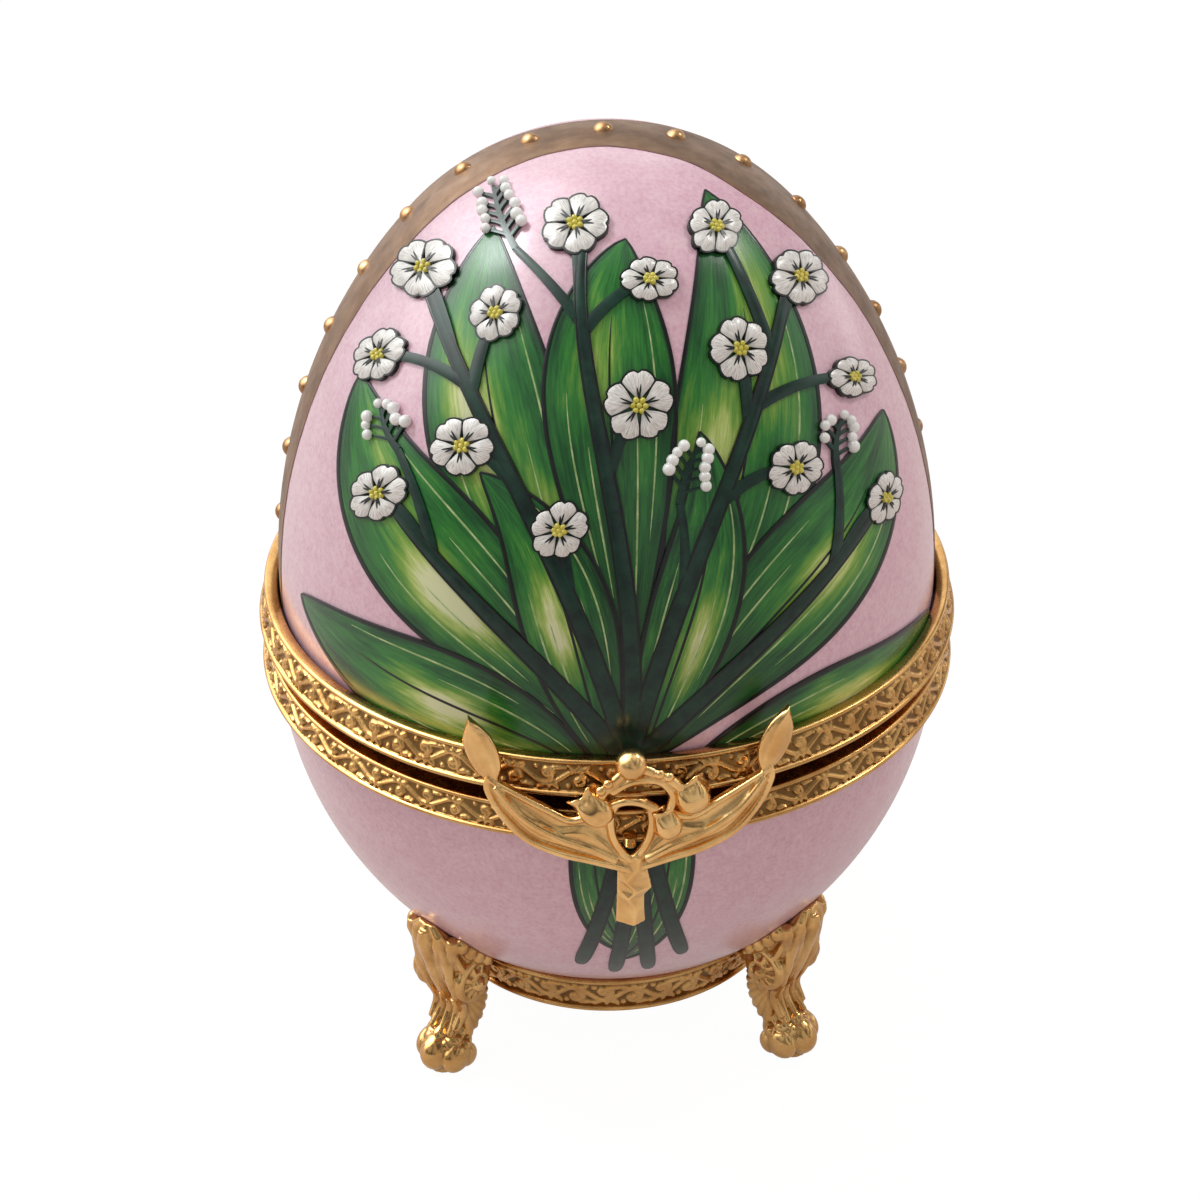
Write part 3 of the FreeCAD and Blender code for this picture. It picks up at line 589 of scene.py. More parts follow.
def egg_normal(points, on_lid):
    """Signed distance in front of the porcelain and the outward normal there."""
    flat = np.hypot(points[..., 0], points[..., 1])
    if on_lid:
        end = (0.0, lid_crown_level, lid_crown_radius)
        side = (lid_side_centre, lid_side_level, lid_side_radius)
        at_end = np.arctan2(points[..., 2] - lid_crown_level, flat) > lid_side_turn
        straight = points[..., 2] < lid_side_level
    else:
        end = (bowl_lower_centre, bowl_lower_level, bowl_lower_radius)
        side = (bowl_side_centre, bowl_side_level, bowl_side_radius)
        at_end = np.arctan2(bowl_lower_level - points[..., 2], flat - bowl_lower_centre) > bowl_side_turn
        straight = points[..., 2] > bowl_side_level
    centre, level, radius = (np.where(at_end, one, other) for one, other in zip(end, side))
    out = flat - centre
    rise = np.where(straight, 0.0, points[..., 2] - level)
    length = np.hypot(out, rise)
    direction = points[..., :2] / np.maximum(flat, 1e-6)[..., None]
    normal = np.concatenate([direction * (out / length)[..., None], (rise / length)[..., None]], axis=-1)
    return length - radius, normal


# The painting is laid out on a plane that faces the viewer, and drops back onto the porcelain

easel_elevation = math.radians(31)
easel_right = np.array([1.0, 0.0, 0.0])
easel_up = np.array([0.0, math.sin(easel_elevation), math.cos(easel_elevation)])
easel_out = np.array([0.0, -math.cos(easel_elevation), math.sin(easel_elevation)])
easel_origin = np.array([0.0, 0.0, lid_side_level])
drop_steps = 60
collar_hide = 0.7
under_glaze = 0.05


def on_egg(flat_points, lift, on_lid=True):
    """Drops easel points (right, up) onto the porcelain, then raises them by a lift."""
    flat_points = np.asarray(flat_points, dtype=float)
    points = easel_origin + flat_points[..., :1] * easel_right + flat_points[..., 1:2] * easel_up
    points = points + easel_out * lid_rim_radius * 2
    for _ in range(drop_steps):
        distance, _ = egg_normal(points, on_lid)
        points = points - easel_out * distance[..., None]
    if on_lid:
        edge = lid_collar_top - collar_hide
        hidden = points[..., 2] < edge
        rim_radius = lid_rim_radius
    else:
        edge = base_collar_bottom + collar_hide
        hidden = points[..., 2] > edge
        rim_radius = bowl_rim_radius
    spread = points[..., :2] / np.maximum(np.hypot(points[..., 0], points[..., 1]), 1e-6)[..., None]
    at_edge = np.concatenate([spread * rim_radius, np.full(spread.shape[:-1] + (1,), edge)], axis=-1)
    points = np.where(hidden[..., None], at_edge, points)
    distance, normal = egg_normal(points, on_lid)
    return points + normal * (np.asarray(lift)[..., None] - distance[..., None])


def closed_patch(heap, top, bottom, **attributes):
    """A closed slab between two grids of points."""
    rows, columns = top.shape[:2]
    count = rows * columns
    faces = grid_faces(rows, columns)
    faces += [[index + count for index in face[::-1]] for face in grid_faces(rows, columns)]
    border = list(range(columns)) + [row * columns + columns - 1 for row in range(1, rows)]
    border += [(rows - 1) * columns + column for column in range(columns - 2, -1, -1)]
    border += [row * columns for row in range(rows - 2, 0, -1)]
    for first, second in zip(border, border[1:] + border[:1]):
        faces.append([second, first, first + count, second + count])
    doubled = {key: np.concatenate([np.reshape(values, (count, -1))] * 2).squeeze()
               for key, values in attributes.items()}
    heap.add(np.concatenate([top.reshape(-1, 3), bottom.reshape(-1, 3)]), faces, **doubled)


def paint_patch(heap, flat_grid, lift_grid, on_lid=True, **attributes):
    """A closed thin patch over a grid of easel points, with its underside below the glaze."""
    top = on_egg(flat_grid, lift_grid, on_lid)
    bottom = on_egg(flat_grid, np.full(flat_grid.shape[:2], -under_glaze), on_lid)
    closed_patch(heap, top, bottom, **attributes)


def brush(heap, path, widths, lift, on_lid=True, crown=0.02, columns=5):
    """A brush stroke along easel points, with a width at each and a slightly raised middle."""
    path = np.asarray(path, dtype=float)
    across = np.linspace(-1, 1, columns)
    widths = np.broadcast_to(widths, len(path))
    grid = path[:, None, :] + side_of(path)[:, None, :] * (across[None, :, None] * widths[:, None, None] / 2)
    lifts = lift + crown * (1 - across[None, :] ** 2) * np.ones((len(path), 1))
    paint_patch(heap, grid, lifts, on_lid)


def stroke_widths(count, thick, thin_share=0.3, start_share=None):
    """Widths of a stroke that swells in its middle and thins at its ends."""
    t = np.linspace(0, 1, count)
    start = thin_share if start_share is None else start_share
    ends = start * (1 - t) + thin_share * t
    return thick * (ends + (1 - ends) * np.sin(math.pi * t) ** 0.6)


# Leaves

leaf_rows = 56
leaf_columns = 17
leaf_crown = 0.02
leaf_blunt = 0.8
leaf_lift_start = 0.05
leaf_lift_step = 0.035
light_length = 0.17
light_width = 0.42
outline_width = 0.42
outline_lift = 0.02
vein_width = 0.26
vein_points = 30
rib_points = 40
# Veins of a leaf: how far in from the edge, on which side, and from where to where along it
leaf_veins = [(0.35, 1, 0.12, 0.62), (0.62, 1, 0.2, 0.5), (0.3, -1, 0.3, 0.85), (0.6, -1, 0.1, 0.55)]

# Leaves from the back of the bunch to its front: name, control points of the midrib on the easel's
# (right, up) in millimetres, width, where it is widest, and lights as (along, across, strength)
leaves = [
    ("leaf_upper_left", [(-2, -16), (-9, 4), (-15, 14), (-11, 32)], 12.6, 0.58,
     [(0.62, 0.3, 0.9), (0.35, -0.5, 0.4)]),
    ("leaf_upper_right", [(2, -16), (10, 2), (16, 14), (9, 35)], 14.2, 0.55,
     [(0.5, 0.45, 0.8), (0.75, -0.3, 0.6)]),
    ("leaf_tall", [(0, -14), (0, 6), (-3, 18), (1, 30)], 12.0, 0.6, [(0.7, 0.2, 0.5)]),
    ("leaf_left", [(-2, -18), (-12, -2), (-24, 2), (-24, 19)], 12.0, 0.52,
     [(0.45, 0.3, 1.0), (0.8, -0.2, 0.5)]),
    ("leaf_right", [(3, -18), (12, -4), (24, 0), (26, 14)], 11.6, 0.5, [(0.55, -0.2, 0.9)]),
    ("leaf_low_left", [(-3, -20), (-12, -13), (-22, -13), (-31, -2)], 9.2, 0.5,
     [(0.5, 0.1, 1.0), (0.2, 0.4, 0.3)]),
    ("leaf_low_right", [(4, -21), (14, -16), (25, -17), (32, -6)], 9.0, 0.55, [(0.6, 0.2, 0.9)]),
    ("leaf_centre", [(-1, -20), (-6, -9), (-4, 0), (-13, 9)], 8.5, 0.5, [(0.5, 0.3, 0.9)]),
    ("leaf_middle_right", [(1, -20), (4, -8), (10, 0), (7, 12)], 8.0, 0.5, [(0.4, -0.3, 0.8)]),
]
bowl_leaves = [
    ("leaf_bowl_left", [(1.0, -39.5), (-2.8, -37), (-4.6, -30), (-2.8, -14)], 4.8, 0.5, [(0.4, 0.2, 0.2)]),
    ("leaf_bowl_right", [(-0.6, -40.5), (3.4, -37), (5.2, -30), (3.4, -14)], 5.0, 0.5, [(0.5, -0.3, 0.2)]),
]


def paint_leaf(name, midrib, width, widest, lights, lift, seed, on_lid):
    """Fills one leaf, inks its outline and midrib and adds pale strokes along its veins."""
    body = "lid" if on_lid else "base"
    top = lift + outline_lift

    def half_width(t):
        skew = np.log(0.5) / math.log(widest)
        return width / 2 * np.sin(math.pi * np.clip(t, 0, 1) ** skew) ** leaf_blunt

    def edge(side, t, inset=0.0):
        middle = bezier(midrib, t)
        return middle + side_of(middle) * (side * half_width(t) * (1 - inset))[:, None]

    t = np.linspace(0, 1, leaf_rows)
    along = t[:, None]
    across = np.linspace(-1, 1, leaf_columns)[None, :]
    middle = bezier(midrib, t)
    grid = middle[:, None, :] + side_of(middle)[:, None, :] * (half_width(t)[:, None] * across)[..., None]
    lifts = lift + leaf_crown * (1 - across ** 2) * np.ones((leaf_rows, 1))
    length = np.linalg.norm(np.diff(middle, axis=0), axis=1).sum()
    stroke = np.zeros((leaf_rows, leaf_columns, 3))
    stroke[..., 0] = along * length / width + seed * 3.7
    stroke[..., 1] = across * 0.5 + seed * 1.9
    stroke[..., 2] = seed
    shade = np.clip(0.75 * (1 - along) ** 3 + 0.35 * np.abs(across) ** 6, 0, 1)
    glow = np.zeros((leaf_rows, leaf_columns))
    for place, offset, strength in lights:
        reach = ((along - place) / light_length) ** 2 + ((across - offset) / light_width) ** 2
        glow += strength * np.exp(-reach)
    fill = Heap()
    paint_patch(fill, grid, lifts, on_lid, stroke=stroke, shade=shade, glow=glow)
    build_piece(fill, name, green, body)

    lines = Heap()
    for side in (-1, 1):
        brush(lines, edge(side, t), stroke_widths(leaf_rows, outline_width, 0.45), top, on_lid)
    rib = bezier(midrib, np.linspace(0.02, 0.8, rib_points))
    brush(lines, rib, stroke_widths(rib_points, vein_width, 0.2, 0.9), top, on_lid)
    build_piece(lines, name + "_outline", ink, body)

    pale = Heap()
    for inset, side, start, end in leaf_veins:
        path = edge(side, np.linspace(start, end, vein_points), inset)
        brush(pale, path, stroke_widths(vein_points, vein_width * 0.7, 0.15), top, on_lid)
    build_piece(pale, name + "_veins", vein_green, body)


def build_leaves(table, first_seed, on_lid):
    for index, leaf in enumerate(table):
        paint_leaf(*leaf, leaf_lift_start + index * leaf_lift_step, first_seed + index, on_lid)


# Stems and flowers

stem_lift = leaf_lift_start + len(leaves) * leaf_lift_step + 0.03
stem_width = 1.7
stem_crown = 0.06
stem_points = 48
stem_ink_width = 0.26
stalk_points = 16
flower_lift = stem_lift + 0.06
flower_radius = 3.05
petal_count = 5
petal_rows = 12
petal_columns = 11
petal_throat = 0.12
petal_dome = 0.30
petal_step = 0.03
petal_ink_width = 0.24
petal_line_width = 0.16
stamen_count = 6
stamen_radius = 0.30
bud_radius = 0.58
twig_points = 24
bud_stalk_points = 8

# Stems: easel control points from the bunch's tie upwards
stems = [
    [(0, -19), (-4, -2), (-13, 12), (-17, 26)],
    [(0, -19), (2, 2), (-5, 16), (-3, 29)],
    [(0, -19), (4, -2), (12, 10), (16, 25)],
    [(0, -19), (-6, -10), (-15, -3), (-21, 6)],
    [(0, -19), (8, -11), (16, -6), (24, 4)],
]
# Flowers: easel place, size, turn in degrees and how far they are tipped over
flowers = [
    ((-17.5, 28.5), 1.05, 10, 0.10),
    ((-22.0, 20.5), 0.95, 40, 0.25),
    ((-11.0, 23.5), 0.90, 65, 0.15),
    ((-3.5, 31.5), 1.05, 30, 0.10),
    ((3.0, 26.0), 0.90, 0, 0.25),
    ((9.5, 31.0), 0.95, 50, 0.15),
    ((17.5, 26.5), 1.05, 20, 0.15),
    ((11.0, 19.5), 1.00, 70, 0.05),
    ((22.5, 17.0), 0.90, 5, 0.30),
    ((-22.5, 7.5), 1.00, 35, 0.20),
    ((-14.5, 11.5), 1.00, 15, 0.10),
    ((1.5, 14.5), 1.10, 55, 0.05),
    ((16.0, 8.5), 0.95, 25, 0.15),
    ((25.5, 5.5), 0.90, 60, 0.30),
    ((-6.0, 3.5), 0.95, 45, 0.15),
]
# Sprays of buds: foot, direction in degrees and count
bud_sprays = [((-9.0, 29.5), 105, 11), ((20.3, 8.8), 80, 7), ((-20.5, 11.5), 110, 7), ((5.0, 5.5), 70, 9)]
# Cut ends of the stems on the bowl: foot and bend, and where all of them meet
stem_ends = [((-4.6, -41.0), (-1.6, -33)), ((-1.0, -42.3), (0.2, -33)), ((2.6, -42.1), (0.9, -33)),
             ((6.0, -40.2), (2.4, -32))]
stem_meeting = (0.8, -18)


def petal_grid(centre, radius, turn, tip, start, end):
    """Easel points of one petal, between two angles of its flower, as rows from throat to rim."""
    rho = np.linspace(petal_throat, 1, petal_rows)[:, None]
    across = np.linspace(-1, 1, petal_columns)[None, :]
    reach = radius * (1 - 0.16 * across ** 2 - 0.10 * np.exp(-(across / 0.16) ** 2))
    spread = (end - start) / 2 * 0.94 * np.sin(right_angle * np.clip(rho * 1.25, 0, 1)) ** 0.7
    angle = (start + end) / 2 + across * spread
    x = reach * rho * np.cos(angle)
    y = reach * rho * np.sin(angle) * (1 - tip)
    turned_x = x * math.cos(turn) - y * math.sin(turn)
    turned_y = x * math.sin(turn) + y * math.cos(turn)
    return np.stack([centre[0] + turned_x, centre[1] + turned_y], axis=2), rho, across


def raised_dot(heap, place, radius, lift):
    """A small dome of enamel on the porcelain."""
    heap.add(*ball(on_egg(np.array([place]), np.array([lift]))[0], (radius,) * 3, 8, 12))


def paint_flower(petals, lines, stamens, centre, size, turn_degrees, tip, seed):
    """Five white petals, each raised in its middle and inked round its edge."""
    radius = flower_radius * size
    turn = math.radians(turn_degrees)
    for index in range(petal_count):
        start = index * full_turn / petal_count
        grid, rho, across = petal_grid(centre, radius, turn, tip, start, start + full_turn / petal_count)
        lift = flower_lift + petal_step * (index % 2)
        dome = petal_dome * np.sin(math.pi * rho ** 1.4) ** 0.8 * (1 - 0.5 * across ** 2)
        stroke = np.zeros(grid.shape[:2] + (3,))
        stroke[..., 0] = rho * 1.5 + seed
        stroke[..., 1] = across * 0.6 + index * 1.3
        shade = np.clip(np.clip(0.95 - 1.9 * rho, 0, 1) + 0.25 * across ** 6, 0, 1)
        paint_patch(petals, grid, lift + dome, stroke=stroke, shade=shade)
        rim = np.concatenate([grid[3:, 0], grid[-1, 1:-1], grid[3:, -1][::-1]])
        brush(lines, rim, stroke_widths(len(rim), petal_ink_width, 0.5), lift + 0.03, crown=0.01, columns=3)
        for column, end in ((4, 7), (6, 6)):
            brush(lines, grid[1:end, column], stroke_widths(end - 1, petal_line_width, 0.2, 0.9),
                  lift + petal_dome, crown=0.01, columns=3)
    for index in range(stamen_count + 1):
        angle = index * full_turn / stamen_count + turn
        reach = radius * 0.17 if index < stamen_count else 0.0
        place = (centre[0] + reach * math.cos(angle), centre[1] + reach * math.sin(angle) * (1 - tip))
        raised_dot(stamens, place, stamen_radius, flower_lift + 0.10)


def paint_buds(buds, twigs, foot, degrees, count, seed):
    """Round buds on short stalks, by turns on either side of a bent twig."""
    draw = np.random.default_rng(seed)
    turn = math.radians(degrees)
    out = np.array([math.cos(turn), math.sin(turn)])
    side = np.array([-out[1], out[0]])
    foot = np.array(foot)
    length = 1.05 * count * bud_radius
    bend = foot + out * length * 0.5 + side * 0.7
    twig = bezier([foot, bend, foot + out * length], np.linspace(0, 1, twig_points))
    bud_lift = stem_lift + 0.12
    brush(twigs, twig, np.linspace(0.7, 0.28, twig_points), stem_lift, columns=3)
    raised_dot(buds, twig[-1] + out * 0.4, bud_radius * 0.8, bud_lift)
    for index in range(count):
        share = 0.18 + 0.80 * index / count
        joint = twig[int(share * (twig_points - 1))]
        hand = 1 if index % 2 else -1
        reach = (2.2 - 1.0 * share) * draw.uniform(0.85, 1.15)
        end = joint + reach * (hand * side * 0.85 + out * 0.6)
        path = bezier([joint, joint + out * 0.5 + hand * side * reach * 0.3, end],
                      np.linspace(0, 1, bud_stalk_points))
        brush(twigs, path, np.linspace(0.34, 0.24, bud_stalk_points), stem_lift, columns=3)
        raised_dot(buds, end, bud_radius * draw.uniform(0.85, 1.1), bud_lift)


def inked_stem(stalks, lines, path, widths, lift, on_lid=True):
    """A stem's stroke with an ink line along each edge."""
    brush(stalks, path, widths, lift, on_lid, crown=stem_crown)
    line_widths = stroke_widths(len(path), stem_ink_width, 0.5)
    for hand in (-1, 1):
        edge = path + hand * side_of(path) * widths[:, None] / 2
        brush(lines, edge, line_widths, lift + 0.01, on_lid)


def add_stalk(stalks, place, steps_back, bend, end_share, lift):
    """A stalk from some steps down the nearest stem to a place."""
    place = np.array(place)
    ends = [bezier(points, np.linspace(0.25, 1, 40)) for points in stems]
    gaps = [np.linalg.norm(path - place, axis=1) for path in ends]
    best = int(np.argmin([gap.min() for gap in gaps]))
    joint = ends[best][max(int(np.argmin(gaps[best])) - steps_back, 0)]
    path = bezier([joint, (joint + place) / 2 + np.array(bend), place], np.linspace(0, 1, stalk_points))
    brush(stalks, path, stem_width * np.linspace(0.7, end_share, stalk_points), lift, crown=0.05)


def build_stems_and_flowers():
    stalks, lines, petals, stamens, buds = (Heap() for _ in range(5))
    for points in stems:
        path = bezier(points, np.linspace(0, 1, stem_points))
        inked_stem(stalks, lines, path, stem_width * np.linspace(1, 0.55, stem_points), stem_lift)
    for place, *_ in flowers:
        add_stalk(stalks, place, 7, (0.0, 1.6), 0.5, stem_lift - 0.01)
    for foot, *_ in bud_sprays:
        add_stalk(stalks, foot, 9, (0.8, -0.4), 0.4, stem_lift - 0.02)
    for index, flower in enumerate(flowers):
        paint_flower(petals, lines, stamens, *flower, index * 2.3)
    for index, spray in enumerate(bud_sprays):
        paint_buds(buds, stalks, *spray, index + 11)
    for heap, name, material in ((stalks, "painted_stems", stem_green), (petals, "painted_petals", petal),
                                 (lines, "petal_outlines", ink), (stamens, "stamens", stamen),
                                 (buds, "enamel_buds", enamel_white)):
        build_piece(heap, name, material, "lid")


def build_bowl_painting():
    """The bunch's cut stems and two leaves, going on below the collars."""
    build_leaves(bowl_leaves, 21, False)
    stalks = Heap()
    lines = Heap()
    steps = np.linspace(0, 1, stem_points)
    widths = stem_width * np.interp(steps, [0, 0.02, 0.06, 1], [0.35, 0.7, 0.85, 0.75])
    for foot, bend in stem_ends:
        path = bezier([foot, bend, stem_meeting], steps)
        inked_stem(stalks, lines, path, widths, leaf_lift_start + 0.1, False)
    build_piece(stalks, "painted_stem_ends", stem_green, "base")
    build_piece(lines, "stem_end_outlines", ink, "base")


# The gold band over the lid and its raised dots

# The band's front edge on each side: distance along the meridian from the apex, and place along Y
band_front_left = [(0, -1.5), (8, -1.9), (14, -3.0), (22, -3.9), (32, -4.1), (42, -4.8), (52, -5.5),
                   (66, -6.0)]
band_front_right = [(0, -1.5), (7.5, -2.8), (13, -4.6), (20, -5.6), (30, -5.5), (40, -6.0), (52, -6.8),
                    (66, -7.4)]
band_back = 7.0
band_rows = 260
band_columns = 30
band_lift = 0.05
band_edge_half = 0.13
dot_row_offset = 3.0
dot_pitch = 7.2
dot_width = 2.0
dot_height = 0.7
dot_rim_margin = 2.0
dot_inset = 0.01

crown_length = lid_crown_radius * (right_angle - lid_side_turn)
meridian_length = crown_length + lid_side_radius * lid_side_turn


def lid_radius_along(distance):
    """Radius of the lid's outside at a distance along its meridian from the apex."""
    crown = lid_crown_radius * np.sin(distance / lid_crown_radius)
    turn = lid_side_turn - (distance - crown_length) / lid_side_radius
    return np.where(distance <= crown_length, crown, lid_side_centre + lid_side_radius * np.cos(turn))


def lid_height_at(radius):
    """Height of the lid's outside at a radius."""
    radius = np.minimum(radius, lid_rim_radius)
    crown = lid_crown_level + np.sqrt(np.maximum(lid_crown_radius ** 2 - radius ** 2, 0))
    side = lid_side_level + np.sqrt(np.maximum(lid_side_radius ** 2 - (radius - lid_side_centre) ** 2, 0))
    return np.where(radius <= lid_crown_radius * math.cos(lid_side_turn), crown, side)


def band_patch(heap, fronts, backs, lift, columns):
    """A closed strip over the lid, between two edges given at each step from side to side."""
    reach = np.linspace(-1, 1, band_rows)
    radius = lid_radius_along(np.abs(reach) * meridian_length)
    y = fronts[:, None] + (backs - fronts)[:, None] * np.linspace(0, 1, columns)
    x = (np.sign(reach) * radius)[:, None] * np.sqrt(1 - (y / lid_rim_radius) ** 2)
    points = np.stack([x, y, lid_height_at(np.hypot(x, y))], axis=2)
    ends = points[[0, -1]]
    ends[..., 2] = lid_collar_top - collar_hide
    points = np.concatenate([ends[:1], points, ends[1:]])
    _, normal = egg_normal(points, True)
    closed_patch(heap, points + normal * lift, points - normal * under_glaze)


def band_front():
    """The band's front edge at each step from its left end to its right one."""
    length = np.linspace(0, meridian_length, band_rows // 2)
    curves = [smooth_path(line, 120) for line in (band_front_left, band_front_right)]
    left, right = (np.interp(length, curve[:, 0], curve[:, 1]) for curve in curves)
    return np.concatenate([left[::-1], right])


def build_gold_band():
    steps = np.linspace(0, full_turn, band_rows)
    wobble = 0.10 * np.sin(3 * steps + 0.6) + 0.06 * np.sin(11 * steps) + 0.03 * np.sin(29 * steps + 1.0)
    front = band_front() + wobble
    back = np.full(band_rows, band_back) + wobble[::-1]
    band = Heap()
    band_patch(band, front, back, band_lift, band_columns)
    build_piece(band, "gold_band", gold, "lid")
    edges = Heap()
    for line in (front, back):
        band_patch(edges, line - band_edge_half, line + band_edge_half, band_lift + 0.01, 4)
    build_piece(edges, "gold_band_edges", band_edge, "lid")


def build_gilt_dots():
    """Domes along the gold band, where the solids have them."""
    sphere_radius = (dot_width ** 2 / 4 + dot_height ** 2) / (2 * dot_height)
    count = int((meridian_length - dot_rim_margin) / dot_pitch) + 1
    dots = Heap()
    for step in range(count):
        x = float(lid_radius_along(np.array(step * dot_pitch)))
        height = float(lid_height_at(np.array(math.hypot(x, dot_row_offset))))
        for side in (-1, 1) if step else (1,):
            place = np.array([[side * x, dot_row_offset, height]])
            _, normal = egg_normal(place, True)
            centre = place[0] - normal[0] * (sphere_radius - dot_height + dot_inset)
            dots.add(*ball(centre, (sphere_radius,) * 3, 24, 32))
    build_piece(dots, "raised_gilt_dots", gold_dot, "lid", "gilt_dots")


# Chased bands

class Motif:
    """Raised strokes of one repeat of a scroll, gathered as a height over a small grid."""

    def __init__(self, period, height, columns, rows):
        self.period = period
        self.s, self.t = np.meshgrid(np.arange(columns) * period / columns,
                                     np.linspace(-height / 2, height / 2, rows), indexing="xy")
        self.relief = np.zeros_like(self.s)

    def stroke(self, path, width, rise=1.0, end_share=0.4):
        """Adds a rounded ridge along a path, thinning towards its end."""
        path = np.asarray(path, dtype=float)
        count = len(path) - 1
        for index in range(count):
            start, end = path[index], path[index + 1]
            local = width * (1 + (end_share - 1) * index / max(count - 1, 1))
            run = end - start
            square = max(float(run @ run), 1e-9)
            for shift in (-self.period, 0, self.period):
                ds = self.s - start[0] - shift
                dt = self.t - start[1]
                along = np.clip((ds * run[0] + dt * run[1]) / square, 0, 1)
                gap = np.hypot(ds - along * run[0], dt - along * run[1]) / local
                self.relief = np.maximum(self.relief, rise * np.sqrt(np.clip(1 - gap ** 2, 0, 1)))

    def bead(self, s, t, radius, rise=1.0):
        self.stroke([(s, t), (s + 1e-3, t)], radius, rise)


def spiral(centre, radius, start, turns, share=0.25, count=18):
    """A curl that winds in from a radius to a share of it."""
    steps = np.linspace(0, 1, count)
    angle = start + turns * full_turn * steps
    reach = radius * (1 - (1 - share) * steps)
    return np.stack([centre[0] + reach * np.cos(angle), centre[1] + reach * np.sin(angle)], axis=1)


def scroll_motif(period, height, columns, rows):
    """A waved vine with a curl, a bud and three leaf lobes in each half wave."""
    motif = Motif(period, height, columns, rows)
    wave = np.linspace(0, period, 33)
    vine = np.stack([wave, 0.27 * height * np.sin(full_turn * wave / period)], axis=1)
    motif.stroke(vine, 0.10 * height, 0.85, 1.0)
    for half, flip in ((0.25, -1), (0.75, 1)):
        middle = half * period
        curl = spiral((middle, flip * 0.13 * height), 0.25 * height, flip * -1.2, flip * 1.05)
        motif.stroke(curl, 0.105 * height, 1.0, 0.8)
        motif.bead(middle, flip * 0.12 * height, 0.12 * height)
        for lean in (-0.75, 0.05, 0.8):
            foot = np.array([middle + flip * 0.02 * period + lean * 0.24 * height, flip * -0.26 * height])
            tip = foot + np.array([lean * 0.22 * height, flip * -0.17 * height])
            bend = (foot + tip) / 2 + np.array([0.05 * height, 0.0])
            motif.stroke(bezier([foot, bend, tip], np.linspace(0, 1, 5)), 0.13 * height, 0.9, 0.5)
        side = np.array([middle + 0.20 * period, flip * 0.36 * height])
        before = side - np.array([0.20 * height, 0.02 * height])
        motif.stroke([before, side, side + np.array([0.2 * height, -0.03])], 0.11 * height, 0.85, 0.6)
        motif.bead(middle - 0.17 * period, flip * 0.34 * height, 0.10 * height, 0.9)
    return motif.relief


band_repeat = 6.4
repeat_columns = 48
bead_rows = 7
bead_share = 0.6
field_rows = 22
field_shade = 0.34
field_grain = 0.010
collar_bead = 0.55
base_collar_taper = 0.6
lid_collar_taper = 0.7
lid_collar_slope = 0.6
lid_collar_flare = 0.35
lid_collar_ease = 0.12
collar_field_depth = 0.42
collar_relief = 0.38
cement_gap = 0.1
spigot_ledge = 1.1
spigot_clearance = 0.15
ring_taper = 1.0
ring_bead = 0.7
ring_wall = 2.3
ring_lip = 0.4
ring_field_depth = 0.40
ring_relief = 0.36
bowl_gap = 0.05


def bead_arc(radius, level, bead):
    """Half round of the bead along a band's edge, from below its middle to above it."""
    turns = np.linspace(-right_angle, right_angle, bead_rows)
    return [(radius - bead * bead_share * (1 - math.cos(t)), level + bead / 2 * math.sin(t)) for t in turns]


def chased_band(name, radii, heights, bead, field_depth, relief_height, inner_corners, seam, body, node):
    """A turned band with a smooth bead along each edge and a chased scroll between them."""
    bottom_radius, top_radius = radii
    bottom, top = heights
    low = bottom + bead
    high = top - bead
    repeats = round(full_turn * bottom_radius / band_repeat)
    columns = repeats * repeat_columns
    shares = np.linspace(0.02, 0.98, field_rows)
    field = [(bottom_radius + (top_radius - bottom_radius) * share - field_depth, low + (high - low) * share)
             for share in shares]
    outside = bead_arc(bottom_radius, bottom + bead / 2, bead) + field
    outside += bead_arc(top_radius, top - bead / 2, bead)
    loop = outside + inner_corners
    rows = slice(bead_rows, bead_rows + field_rows)
    tiled = np.tile(scroll_motif(band_repeat, high - low, repeat_columns, field_rows), (1, repeats))
    angle = round_angles(columns)
    unevenness = 1 + 0.10 * np.sin(5 * angle + 0.4) + 0.08 * np.sin(17 * angle)
    grain = rng.normal(0, field_grain, tiled.shape)
    relief = np.zeros((len(loop), columns))
    relief[rows] = tiled * relief_height * unevenness[None, :] * 0.85 + grain
    faces = grid_faces(len(loop), columns, close_rows=True, close_columns=True)
    faces = [face[::-1] for face in faces]
    made = make_object(name, turned(loop, columns, relief), faces, [chased], sharp=soft_edge)
    # Painted shade: darker in the low field between the scroll's strokes, and fully dark along one inner row
    # where the band meets the porcelain.
    hollow = np.zeros(relief.shape)
    hollow[rows] = field_shade * np.clip(1 - tiled * 1.6, 0, 1)
    hollow[len(outside) + seam] = 1.0
    store_painted_shade(made, hollow)
    place_piece(made, body, node)


